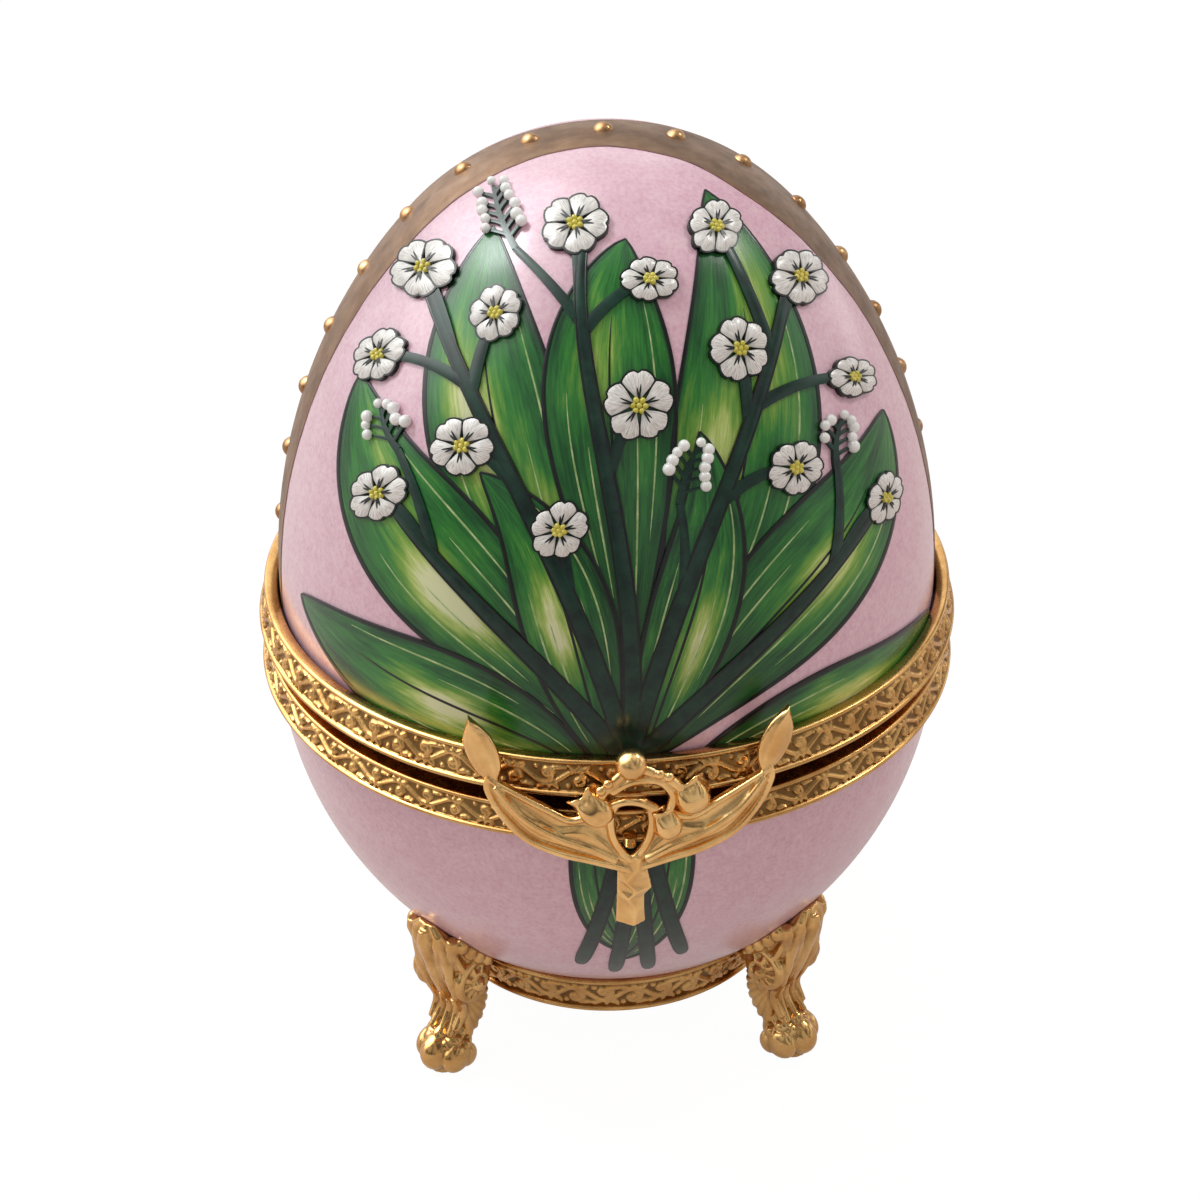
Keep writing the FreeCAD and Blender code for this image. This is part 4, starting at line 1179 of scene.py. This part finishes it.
def build_bands():
    bore = bowl_rim_radius + cement_gap
    inner = [(lip_radius, base_collar_top), (lip_radius, bowl_rim_top), (bore, bowl_rim_top),
             (bore, base_collar_bottom)]
    chased_band("chased_base_collar", (collar_radius, collar_radius - base_collar_taper),
                (base_collar_bottom, base_collar_top), collar_bead, collar_field_depth, collar_relief, inner,
                3, "base", "base_collar")
    bottom = lid_collar_bottom
    top = lid_collar_top
    bore = lid_rim_radius + cement_gap
    flange = lip_radius - spigot_ledge + spigot_clearance
    inner = [(bore + lid_collar_flare, top - lid_collar_ease), (bore, top - lid_collar_slope),
             (bore, lid_rim_bottom), (flange, lid_rim_bottom), (flange, bottom)]
    chased_band("chased_lid_collar", (collar_radius, collar_radius - lid_collar_taper), (bottom, top),
                collar_bead, collar_field_depth, collar_relief, inner, 1, "lid", "lid_collar")
    bore = ring_radius - ring_taper / 2 - ring_wall
    turn = math.asin((bowl_lower_level - ring_top) / bowl_lower_radius)
    mouth = bowl_lower_centre + bowl_lower_radius * math.cos(turn) + bowl_gap
    seat_turn = math.acos((bore - bowl_lower_centre) / bowl_lower_radius)
    seat_level = bowl_lower_level - bowl_lower_radius * math.sin(seat_turn) - bowl_gap
    middle_turn = (turn + seat_turn) / 2
    middle = (bowl_lower_centre + (bowl_lower_radius + bowl_gap) * math.cos(middle_turn),
              bowl_lower_level - (bowl_lower_radius + bowl_gap) * math.sin(middle_turn))
    inner = [(mouth + ring_lip, ring_top), (mouth, ring_top), middle, (bore, seat_level), (bore, ring_bottom)]
    chased_band("chased_stand_ring", (ring_radius - ring_taper, ring_radius), (ring_bottom, ring_top),
                ring_bead, ring_field_depth, ring_relief, inner, 1, "base", "stand_ring")


# Castings, each gathered from overlapping shapes and given one skin

leg_voxel = 0.13
clasp_voxel = 0.115
skin_smoothing = 2
cast_spread = 4


def skinned(heap, voxel):
    """One voxel skin round the heap's shapes, returned as points in millimetres and faces."""
    rough = heap.build("rough", [])
    skin = rough.modifiers.new("skin", "REMESH")
    skin.mode = "VOXEL"
    skin.voxel_size = voxel * mm
    smooth = rough.modifiers.new("smooth", "SMOOTH")
    smooth.factor = 0.5
    smooth.iterations = skin_smoothing
    evaluated = rough.evaluated_get(bpy.context.evaluated_depsgraph_get())
    mesh = bpy.data.meshes.new_from_object(evaluated)
    points = np.empty(len(mesh.vertices) * 3)
    mesh.vertices.foreach_get("co", points)
    corners = np.empty(len(mesh.loops), dtype=np.int64)
    mesh.loops.foreach_get("vertex_index", corners)
    starts = np.empty(len(mesh.polygons), dtype=np.int64)
    mesh.polygons.foreach_get("loop_start", starts)
    faces = [face.tolist() for face in np.split(corners, starts[1:])]
    bpy.data.objects.remove(rough)
    bpy.data.meshes.remove(mesh)
    return points.reshape(-1, 3) / mm, faces


def cast_piece(name, points, faces, material, body, node, hollows=0.0):
    made = make_object(name, points, faces, [material], sharp=no_edge)
    # Painted shade in the casting's recesses, plus any extra shade given.
    store_cavity_shade(made, cast_spread, hollows)
    place_piece(made, body, node)


# Leg, in (distance out from the ring, side, height) millimetres

leg_turns = {"leg_front_left": -45, "leg_front_right": 45, "leg_rear_right": 135, "leg_rear_left": -135}
# Distance, height, width and depth along the leg's centre line
leg_path = [
    (7.63, 20.7, 2.2, 0.9), (7.44, 19.4, 4.6, 2.0), (6.60, 17.4, 6.0, 3.3), (5.30, 14.6, 6.4, 4.9),
    (3.72, 11.7, 6.0, 5.7), (2.98, 9.2, 5.0, 5.0), (3.26, 6.8, 4.1, 3.8), (4.65, 4.5, 4.1, 3.4),
    (6.42, 2.6, 4.7, 3.4),
]
leg_columns = 48
# The leaf's middle finger, and what each finger further out adds sideways and loses
finger_path = np.array([(6.4, 0, 11.2), (7.3, 0, 14.6), (8.0, 0, 17.6), (8.35, 0, 20.0)])
finger_spread = np.array([(0, 0.35, 0), (0, 0.85, 0), (0, 1.30, 0), (0, 1.50, 0)])
finger_loss = np.array([(0.3, 0, 0), (0.45, 0, 0), (0.6, 0, 0), (0.65, 0, 0.35)])
# Balls down each side of the leaf: distance, side, height and size
leaf_balls = [(6.2, 3.5, 18.4, 0.85), (5.2, 3.7, 17.2, 0.9), (4.0, 3.7, 16.0, 0.9), (2.8, 3.6, 14.8, 0.8)]
scroll_distance = 4.25
scroll_height = 12.0
scroll_radius = 2.85
scroll_start = math.radians(165)
scroll_turns = 1.3
scroll_flutes = 9
scroll_side = 2.6
scroll_boss = (2.9, 0.95, 2.9)
scroll_bead_side = 3.75
scroll_bead = (0.8, 0.7, 0.8)
# Each flute of the scroll: how far out from its middle, and side
flute_path = [(0.8, 3.5), (1.5, 3.4), (2.2, 3.0)]
flute_radii = [0.28, 0.30, 0.32, 0.34, 0.36, 0.38, 0.38, 0.36]
rib_path = [(6.9, 2.2, 17.0), (6.9, 2.2, 13.6), (5.7, 2.1, 10.2), (4.9, 1.9, 7.6), (6.0, 1.8, 5.4)]
frill_root = np.array([4.8, 9.9])
frill_tips = [(1.45, 9.6), (1.45, 8.5), (1.6, 7.4), (1.95, 6.3), (2.5, 5.3), (3.3, 4.4), (4.2, 3.7)]
frill_sides = (-1.75, -0.6, 0.6, 1.75)
shin_path = np.array([(5.25, 1.0, 8.9), (5.1, 1.15, 6.9), (6.6, 1.5, 4.7)])
shin_sides = (-0.9, 0, 0.9)
# Distance, side, height, size and width of each toe
toes = [(7.0, 0.0, 2.3, 2.3, 1.75), (6.2, -1.95, 1.95, 1.95, 1.25), (6.2, 1.95, 1.95, 1.95, 1.25),
        (4.9, -2.15, 1.5, 1.35, 1.0), (4.9, 2.15, 1.5, 1.35, 1.0), (3.9, 0.0, 1.9, 1.4, 1.6)]
knuckles = [(6.6, 0.0, 4.3, 1.0), (6.9, -1.15, 3.6, 0.75), (6.9, 1.15, 3.6, 0.75), (5.9, -1.75, 3.9, 0.8),
            (5.9, 1.75, 3.9, 0.8), (5.0, -2.3, 3.1, 0.7), (5.0, 2.3, 3.1, 0.7), (7.9, -0.55, 3.5, 0.55),
            (7.9, 0.55, 3.5, 0.55)]
pad_path = [(6.2, 0.0, 0.0), (6.2, 0.0, 0.45), (6.2, 0.0, 0.9)]
leg_clearance = 0.04


def from_ring(rows):
    """Leg points measured from the middle of the stand."""
    return np.asarray(rows, dtype=float) + (ring_radius, 0, 0)


def leg_body(heap):
    """The leg's swept body, fluted down its outer face."""
    path = smooth_path(leg_path, 70)
    run = unit(np.gradient(path[:, :2], axis=0))
    outwards = np.stack([-run[:, 1], run[:, 0]], axis=1)
    outwards = np.where(outwards[:, :1] < 0, -outwards, outwards)
    angle = round_angles(leg_columns)
    side = np.sign(np.cos(angle)) * np.abs(np.cos(angle)) ** 0.85
    depth = np.sign(np.sin(angle)) * np.abs(np.sin(angle)) ** 0.9
    flute = 1 + 0.10 * np.cos(9 * (angle - right_angle)) * (np.sin(angle) > -0.2)
    half_width = path[:, 2:3] / 2 * side * flute
    half_depth = path[:, 3:4] / 2 * depth * flute
    points = np.stack([ring_radius + path[:, :1] + outwards[:, :1] * half_depth, half_width,
                       path[:, 1:2] + outwards[:, 1:] * half_depth], axis=2)
    heap.add(points, tube_faces(len(path), leg_columns))


def leg_leaf(heap):
    """Fingers of the acanthus leaf that spreads against the bowl."""
    for lobe in (-2, -1, 0, 1, 2):
        path = smooth_path(from_ring(finger_path + finger_spread * lobe - finger_loss * abs(lobe)), 24)
        heap.add(*tube(path, [0.40, 0.72, 0.92, 0.55], [0, 0.35, 0.8, 1]))
    for side in (-1, 1):
        for distance, across, height, size in leaf_balls:
            heap.add(*ball(from_ring((distance, side * across, height)), (size, 0.8, size * 1.3)))


def leg_scrolls(heap):
    """A volute on each side of the knee: a fluted round with a spiral rim and a bead in its middle."""
    steps = np.linspace(0, 1, 60)
    turn = scroll_start - steps * full_turn * scroll_turns
    reach = scroll_radius * (1 - 0.66 * steps)
    for side in (-1, 1):
        heap.add(*ball(from_ring((scroll_distance, side * scroll_side, scroll_height)), scroll_boss, 20, 32))
        rim = np.stack([scroll_distance + reach * np.cos(turn), side * (2.85 + 0.65 * steps),
                        scroll_height + reach * np.sin(turn)], axis=1)
        heap.add(*tube(from_ring(rim), [0.45, 0.62, 0.34], [0, 0.2, 1]))
        for angle in round_angles(scroll_flutes):
            flute = [(scroll_distance + out * math.cos(angle), side * across,
                      scroll_height + out * math.sin(angle)) for out, across in flute_path]
            heap.add(*tube(smooth_path(from_ring(flute), len(flute_radii)), flute_radii, sides=10))
        heap.add(*ball(from_ring((scroll_distance, side * scroll_bead_side, scroll_height)), scroll_bead))
        rib = smooth_path(from_ring(np.array(rib_path) * (1, side, 1)), 30)
        heap.add(*tube(rib, [0.5, 0.62, 0.45]))


def leg_frill(heap):
    """A fan of flutes behind the shin, and the ribs down its front."""
    for tip in frill_tips:
        start = frill_root + 0.3 * (np.array(tip) - frill_root)
        middle = (start + tip) / 2
        for side in frill_sides:
            path = [(start[0], side, start[1]), (middle[0], side * 1.12, middle[1]), (tip[0], side, tip[1])]
            heap.add(*tube(smooth_path(from_ring(path), 14), [0.4, 0.72, 0.62], [0, 0.8, 1]))
    for side in shin_sides:
        path = smooth_path(from_ring(shin_path * (1, side, 1)), 18)
        heap.add(*tube(path, [0.35, 0.5, 0.4], [0, 0.6, 1], 10))


def leg_paw(heap):
    """A round paw: one broad toe in front, lesser ones beside it and knuckles above them."""
    for distance, side, height, size, across in toes:
        heap.add(*ball(from_ring((distance, side, height)), (size, across, height), 16, 24))
    for distance, side, height, size in knuckles:
        heap.add(*ball(from_ring((distance, side, height)), (size, size * 0.85, size)))
    heap.add(*tube(from_ring(pad_path), [1.85, 1.9, 1.85], sides=28))


def build_legs():
    heap = Heap()
    for add_shape in (leg_body, leg_leaf, leg_scrolls, leg_frill, leg_paw):
        add_shape(heap)
    points, faces = skinned(heap, leg_voxel)
    points = np.stack([points[:, 1], -points[:, 0], np.maximum(points[:, 2], 0.0)], axis=1)
    for _ in range(2):
        distance, normal = egg_normal(points, False)
        near = (points[:, 2] > ring_top) & (distance < leg_clearance)
        points += np.where(near[:, None], normal * (leg_clearance - distance)[:, None], 0.0)
    for node, degrees in leg_turns.items():
        cos = math.cos(math.radians(degrees))
        sin = math.sin(math.radians(degrees))
        leg = np.stack([points[:, 0] * cos - points[:, 1] * sin, points[:, 0] * sin + points[:, 1] * cos,
                        points[:, 2]], axis=1)
        cast_piece("cast_" + node, leg, faces, cast, "base", node)


# Clasp, in its own (across, forward, up) millimetres: forward from the spray's back

clasp_back = collar_radius + 0.6
clasp_rise = 15.9
clasp_root = clasp_top - clasp_rise
bud_level = clasp_root + 0.775 * clasp_rise
bud_size = 1.5
bell_clearance = 0.05
# Edges as shares of the clasp's half span and rise
wing_outer_shares = [(0.0, -0.03), (0.06, 0.0), (0.25, 0.055), (0.43, 0.095), (0.63, 0.18), (0.775, 0.33),
                     (0.86, 0.50), (0.85, 0.60)]
wing_inner_shares = [(0.0, 0.085), (0.075, 0.17), (0.115, 0.31), (0.20, 0.43), (0.36, 0.37), (0.50, 0.43),
                     (0.72, 0.54), (0.85, 0.60)]
wing_middle_shares = [(0.09, 0.08), (0.25, 0.17), (0.45, 0.245), (0.66, 0.37), (0.82, 0.56)]
eye_rim_shares = [(0.0, 0.065), (0.06, 0.13), (0.105, 0.22), (0.125, 0.33), (0.115, 0.43), (0.07, 0.51)]
tip_right_shares = [(0.80, 0.53), (0.93, 0.62), (1.00, 0.79), (0.965, 1.00)]
tip_left_shares = [(0.80, 0.53), (0.775, 0.72), (0.84, 0.89), (0.965, 1.00)]
blade_rows = 90
blade_columns = 40
# Height of each row of the stem's end, its left and right edges and its ridge
stem_rows = [
    (clasp_root + 1.6, -1.05, 1.15, 1.3), (clasp_root + 0.2, -1.25, 1.45, 1.0),
    (clasp_root - 1.4, -1.30, 1.75, -0.9), (clasp_root - 2.6, -1.30, 1.95, 0.8),
    (clasp_root - 3.4, -1.30, 1.25, -0.5), (clasp_root - 4.8, -1.35, 1.25, 0.7),
    (clasp_bottom + 0.05, -1.40, 1.35, 0.4),
]
# Twigs: points as (across, forward, up from the bud) and radii
clasp_twigs = [
    ([(0, 0.7, -0.4), (-1.6, 0.9, -2.0), (-2.6, 0.9, -3.2), (-3.4, 0.9, -5.0)], [0.55, 0.5, 0.55]),
    ([(0, 0.7, -0.3), (1.8, 1.0, -0.9), (3.6, 1.0, -2.0), (5.0, 0.9, -3.6)], [0.55, 0.5, 0.55]),
    ([(-1.9, 0.9, -3.2), (0.2, 1.0, -1.9), (2.6, 1.0, -2.1), (3.9, 0.9, -3.9), (3.6, 0.9, -5.6)],
     [0.45, 0.42, 0.5]),
    ([(-2.2, 0.8, -5.0), (-0.7, 1.05, -4.2), (0.9, 1.05, -4.4), (2.4, 0.9, -5.4)], [0.5, 0.45, 0.5]),
]
twig_knots = [(-2.2, -1.9), (-2.9, -2.7), (2.6, -1.0), (3.5, -1.4)]
knot_size = 0.5
# A bell flower's outline, out and back in: radius and length as shares of its belly and its length
bell_shares = [(0.02, -0.50), (0.50, -0.43), (0.86, -0.16), (1.00, 0.20), (0.94, 0.55), (0.82, 0.80),
               (0.92, 1.0), (0.76, 1.02), (0.62, 0.84), (0.56, 0.62), (0.4, 0.52), (0.02, 0.48)]
bell_rows = 44
bell_columns = 40
# Bell flowers: foot, direction of the mouth, length and belly radius
bell_flowers = [
    ((-2.9, 0.7, clasp_root + 6.6), (-0.66, 0.34, 0.67), 2.6, 1.85),
    ((6.0, 0.7, clasp_root + 7.3), (-0.40, 0.34, 0.85), 2.3, 1.9),
    ((3.6, 0.9, clasp_root + 4.6), (-0.35, 0.28, 0.90), 2.1, 1.55),
]


def spray_place(across, forward, height):
    """A point of the spray on the egg's round front."""
    across = np.asarray(across, dtype=float)
    radius = clasp_back + np.asarray(forward, dtype=float)
    depth = -np.sqrt(np.maximum(radius ** 2 - across ** 2, 0.0))
    return np.stack(np.broadcast_arrays(across, depth, np.asarray(height, dtype=float)), axis=-1)


def from_shares(shares, side):
    """Points across and up from shares of the clasp's half span and rise."""
    return [(side * across * clasp_half_span, clasp_root + rise * clasp_rise) for across, rise in shares]


def blade(heap, first_shares, second_shares, side, ridge, veins):
    """A leaf between two edges, thicker along its middle, with fine veins."""
    first = smooth_path(from_shares(first_shares, side), blade_rows)
    second = smooth_path(from_shares(second_shares, side), blade_rows)
    across = np.linspace(0, 1, blade_columns)[None, :]
    along = np.linspace(0, 1, blade_rows)[:, None]
    grid = first[:, None, :] * (1 - across[..., None]) + second[:, None, :] * across[..., None]
    swell = np.sin(math.pi * across) ** 0.5
    middle = np.exp(-((across - 0.5) / 0.10) ** 2)
    fine = 0.06 * np.cos(full_turn * veins * across) * swell
    ridges = (ridge * middle + fine) * np.sin(math.pi * np.clip(along * 0.9 + 0.08, 0, 1))
    forward = 0.35 + 0.65 * swell + ridges
    top = spray_place(grid[..., 0], forward, grid[..., 1])
    bottom = spray_place(grid[..., 0], 0.12 * (1 - swell), grid[..., 1])
    closed_patch(heap, top, bottom)


def spray_tube(heap, points, radii, count=30, sides=12):
    """A twig along points given as (across, forward, up)."""
    path = smooth_path(points, count)
    heap.add(*tube(spray_place(path[:, 0], path[:, 1], path[:, 2]), radii, sides=sides))


def spray_wings(heap):
    """Two long leaves with rolled edges and upturned tips."""
    for side in (-1, 1):
        blade(heap, wing_outer_shares, wing_inner_shares, side, 0.45, 5)
        blade(heap, tip_left_shares, tip_right_shares, side, 0.12, 3)
        for shares, forward, rise, radii, count in (
                (wing_outer_shares, 0.85, 0.25, [0.55, 0.50, 0.45, 0.35], 60),
                (wing_middle_shares, 1.25, 0.0, [0.40, 0.55, 0.5, 0.3], 50),
                (eye_rim_shares, 0.9, 0.0, [0.42, 0.40, 0.42], 40),
                (wing_inner_shares[3:], 0.95, -0.12, [0.42, 0.38, 0.32, 0.3], 50)):
            spray_tube(heap, [(x, forward, z + rise) for x, z in from_shares(shares, side)], radii, count)


def spray_stem(heap):
    """The stem's end below the leaves, with twisted faces and a snag at its side."""
    rows = np.array([[(left, 0.0, height), (left - 0.05, 0.65, height), (ridge * 0.6, 1.55, height),
                      (right + 0.05, 0.75, height), (right, 0.0, height)]
                     for height, left, right, ridge in stem_rows])
    heap.add(spray_place(rows[..., 0], rows[..., 1], rows[..., 2]), tube_faces(*rows.shape[:2]))


def spray_twigs(heap):
    """Twigs from the bud to the flowers, and the neck behind them."""
    for points, radii in clasp_twigs:
        spray_tube(heap, [(x, y, bud_level + z) for x, y, z in points], radii)
    for x, z in twig_knots:
        heap.add(*ball(spray_place(x, 1.35, bud_level + z), (knot_size,) * 3))
    spray_tube(heap, [(0, 0.45, bud_level), (0, 0.45, bud_level - 2.2)], [0.8, 0.6], 12, 16)


def flower_bell(heap, place, towards, length, belly):
    """A round-bellied bell flower with a scalloped lip, hollow as far as its throat."""
    rows = smooth_path(bell_shares, bell_rows)
    angle = round_angles(bell_columns)
    reach = np.clip(rows[:, 1:2], 0, 1) ** 2
    radius = rows[:, :1] * belly * (1 + (0.04 + 0.12 * reach) * np.cos(5 * angle))
    along = rows[:, 1:2] * length * (1 + 0.08 * reach * np.cos(5 * angle))
    axis = unit(np.asarray(towards, dtype=float))
    side = unit(np.cross(axis, [0.0, 1.0, 0.2]))
    other = np.cross(axis, side)
    circle = np.cos(angle)[:, None] * side + np.sin(angle)[:, None] * other
    points = spray_place(*place) + along[..., None] * axis + radius[..., None] * circle
    heap.add(points, tube_faces(bell_rows, bell_columns))


def throat_share(points, place, towards, length, belly):
    """How far inside a bell flower each point lies, from 0 to 1."""
    from_foot = points - spray_place(*place)
    axis = unit(np.asarray(towards, dtype=float))
    along = from_foot @ axis
    reach = np.linalg.norm(from_foot - along[:, None] * axis, axis=1)
    deep = np.clip((1.02 * length - along) / (0.3 * length), 0, 1)
    inside = np.clip((0.72 * belly - reach) / (0.1 * belly), 0, 1)
    return deep * inside * (along > 0.40 * length)


def kept_forward(points, clearance):
    """Moves points that lie behind the clasp's back out to a clearance in front of it."""
    flat = np.hypot(points[:, 0], points[:, 1])
    points[:, :2] *= np.maximum(1.0, (clasp_back + clearance) / flat)[:, None]
    return points


def build_clasp():
    spray = Heap()
    for add_shape in (spray_wings, spray_stem, spray_twigs):
        add_shape(spray)
    points, faces = skinned(spray, clasp_voxel)
    cast_piece("cast_clasp", kept_forward(points, 0), faces, lit_cast, "clasp", "clasp_spray")
    bells = Heap()
    for flower in bell_flowers:
        flower_bell(bells, *flower)
    points, faces = skinned(bells, clasp_voxel)
    points = kept_forward(points, bell_clearance)
    # Painted shade deep inside each bell flower's throat, on top of the shade in its recesses.
    throat_shade = np.max([throat_share(points, *flower) for flower in bell_flowers], axis=0)
    cast_piece("cast_bells", points, faces, lit_cast, "clasp", "clasp_bells", throat_shade)
    bud = Heap()
    bud.add(*ball(spray_place(0, 0.95, bud_level), (bud_size,) * 3, 28, 40))
    build_piece(bud, "cast_bud", lit_cast, "clasp", "clasp_bud")


# Fittings

nib_ribs = 9
nib_rows = 64
nib_columns = 32
nib_shoulder = 0.85
nib_spread = 6
fittings = {"base_lip": shaded_lip_gilt, "base_hinge_leaf": plain_gilt, "lid_hinge_leaf": plain_gilt,
            "hinge_pin": plain_gilt, "stand_seat": plain_gilt, "leg_rivets": plain_gilt,
            "clasp_mount": plain_gilt}


def build_nib():
    """The catch's nib, a small barrel with ribs round it."""
    low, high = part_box("catch_nib")
    centre = np.array((low + high) / 2 / mm)
    reach = np.array((high - low) / 2 / mm)
    heights = np.linspace(-1, 1, nib_rows)
    ribs = 0.90 - 0.10 * np.abs(np.sin(heights * full_turn * nib_ribs / 4))
    past = (np.abs(heights) - nib_shoulder).clip(0) / (1 - nib_shoulder)
    radius = (ribs * np.sqrt(np.clip(1 - past ** 2, 0.02, 1)))[:, None]
    angles = round_angles(nib_columns)
    shape = np.stack([radius * np.cos(angles), radius * np.sin(angles),
                      np.repeat(heights[:, None], nib_columns, axis=1)], axis=2)
    nib = Heap()
    nib.add(centre + reach * shape, tube_faces(nib_rows, nib_columns))
    made = clean(nib.build("ribbed_nib", [cast]))
    # Painted shade in the grooves between the nib's ribs.
    store_cavity_shade(made, nib_spread)
    place_piece(made, "base", "catch_nib")


def dress_fittings():
    """Plain gilt on the fittings whose solids already have their shape, and a darker copy with painted shade
    on the base's lip.
    """
    for node, material in fittings.items():
        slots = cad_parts[node].material_slots
        for index in range(len(slots)):
            slots[index].material = material


# Camera, floor and light

lens_length = 78.8
sensor_width = 36.0
clip_start = 0.01
view_distance = 280.0
view_elevation = math.radians(32.6)
view_azimuth = math.radians(-3.2)
view_roll = math.radians(-0.3)
view_shift = -0.71
view_height = 47.1
floor_half = 2.0
floor_glow = 1.08
floor_gloss = (0.38, 0.24)
floor_gloss_half = 0.15
room_glow = (0.50, 1.45)
room_patches = (0.2, 1.3)
window_edge = (0.72, 0.95)
window_glow = 4.6
light_target = np.array([0.0, 0.0, 0.055])
# Lamps: name, place, size, power and tint
lamps = [
    ("left_window", (-0.315, 0.09, 0.50), 0.14, 1.25, (0.92, 0.99, 1.0)),
    ("right_window", (0.35, 0.10, 0.46), 0.10, 0.55, (1.0, 0.98, 0.96)),
]
window_direction = (-0.62, 0.25, 0.74)
soft_light = 0.59
soft_tint = (1.0, 0.93, 0.88, 1.0)


def link_object(name, data):
    made = bpy.data.objects.new(name, data)
    bpy.context.scene.collection.objects.link(made)
    return made


def build_camera():
    """The photograph's viewpoint."""
    camera_data = bpy.data.cameras.new("camera")
    camera_data.sensor_width = sensor_width
    camera_data.lens = lens_length
    camera_data.clip_start = clip_start
    camera = link_object("camera", camera_data)
    bpy.context.scene.camera = camera
    target = np.array([view_shift * math.cos(view_azimuth), view_shift * math.sin(view_azimuth), view_height])
    back = np.array([math.cos(view_elevation) * math.sin(view_azimuth),
                     -math.cos(view_elevation) * math.cos(view_azimuth), math.sin(view_elevation)])
    right = unit(np.cross(-back, [0.0, 0.0, 1.0]))
    up = np.cross(right, -back)
    matrix = np.eye(4)
    matrix[:3, 0] = right * math.cos(view_roll) + up * math.sin(view_roll)
    matrix[:3, 1] = up * math.cos(view_roll) - right * math.sin(view_roll)
    matrix[:3, 2] = back
    matrix[:3, 3] = (target + view_distance * back) * mm
    camera.matrix_world = mathutils.Matrix(matrix.tolist())


def build_floor():
    """A pale floor that shows white to the camera and still takes the object's shadow."""
    material, tree, shader = new_material("floor", Roughness=0.6)
    space = object_space(tree)
    tone = ramp(tree, noise(tree, space, 30), [
        (0.3, (0.58, 0.48, 0.44, 1.0)), (0.7, (0.61, 0.51, 0.47, 1.0))])
    tree.links.new(tone, shader.inputs["Base Color"])
    path = add_node(tree, "ShaderNodeLightPath")
    glow = add_node(tree, "ShaderNodeEmission", {"Color": grey(1.0), "Strength": floor_glow})
    across = add_node(tree, "ShaderNodeSeparateXYZ", {"Vector": space}).outputs["X"]
    bright = map_range(tree, across, -floor_gloss_half, floor_gloss_half, *floor_gloss)
    mirrored = maths(tree, "MULTIPLY", path.outputs["Is Glossy Ray"], bright)
    share = maths(tree, "MULTIPLY_ADD", path.outputs["Is Camera Ray"], 0.9, mirrored)
    blend = add_node(tree, "ShaderNodeMixShader", {0: share, 1: shader.outputs[0], 2: glow.outputs[0]})
    tree.links.new(blend.outputs[0], tree.nodes["Material Output"].inputs["Surface"])
    mesh = bpy.data.meshes.new("floor")
    corners = [(-floor_half, -floor_half, 0), (floor_half, -floor_half, 0), (floor_half, floor_half, 0),
               (-floor_half, floor_half, 0)]
    mesh.from_pydata(corners, [], [[0, 1, 2, 3]])
    mesh.materials.append(material)
    link_object("floor", mesh)


def build_world():
    """Soft light all round, a white background, and a room with a window for reflections to show."""
    world = bpy.data.worlds.new("studio")
    bpy.context.scene.world = world
    world.use_nodes = True
    tree = world.node_tree
    background = tree.nodes["Background"]
    rays = add_node(tree, "ShaderNodeLightPath").outputs
    seen = maths(tree, "MAXIMUM", rays["Is Camera Ray"], rays["Is Glossy Ray"])
    seen = maths(tree, "MAXIMUM", seen, rays["Is Transmission Ray"])
    direction = add_node(tree, "ShaderNodeTexCoord").outputs["Generated"]
    forward = add_node(tree, "ShaderNodeSeparateXYZ", {"Vector": direction}).outputs["Y"]
    room = map_range(tree, forward, -0.5, 0.6, *room_glow)
    patches = map_range(tree, noise(tree, direction, 2.6, 1.0), 0.40, 0.60, *room_patches)
    towards_window = add_node(tree, "ShaderNodeVectorMath", {0: direction, 1: window_direction},
                              operation="DOT_PRODUCT").outputs["Value"]
    window = map_range(tree, towards_window, *window_edge, 0.0, window_glow)
    reflected = maths(tree, "MULTIPLY_ADD", room, patches, window)
    shown = add_node(tree, "ShaderNodeMix", {0: rays["Is Camera Ray"], 2: reflected, 3: 1.0}).outputs[0]
    strength = map_range(tree, seen, 0.0, 1.0, soft_light, shown)
    tree.links.new(strength, background.inputs["Strength"])
    tree.links.new(mix(tree, seen, soft_tint, grey(1.0)), background.inputs["Color"])


def build_lamps():
    """Two square windows, each turned towards the object."""
    for name, place, size, power, tint in lamps:
        lamp_data = bpy.data.lights.new(name, "AREA")
        lamp_data.shape = "SQUARE"
        lamp_data.size = size
        lamp_data.energy = power
        lamp_data.color = tint
        lamp = link_object(name, lamp_data)
        aim = light_target - np.array(place)
        lamp.location = place
        lamp.rotation_euler = (math.acos(-aim[2] / np.linalg.norm(aim)), 0.0, math.atan2(-aim[0], aim[1]))


bpy.context.scene.view_settings.view_transform = "Standard"
build_camera()
build_floor()
build_world()
build_lamps()
build_porcelain()
build_leaves(leaves, 1, True)
build_stems_and_flowers()
build_bowl_painting()
build_gold_band()
build_gilt_dots()
build_bands()
build_legs()
build_clasp()
build_nib()
dress_fittings()
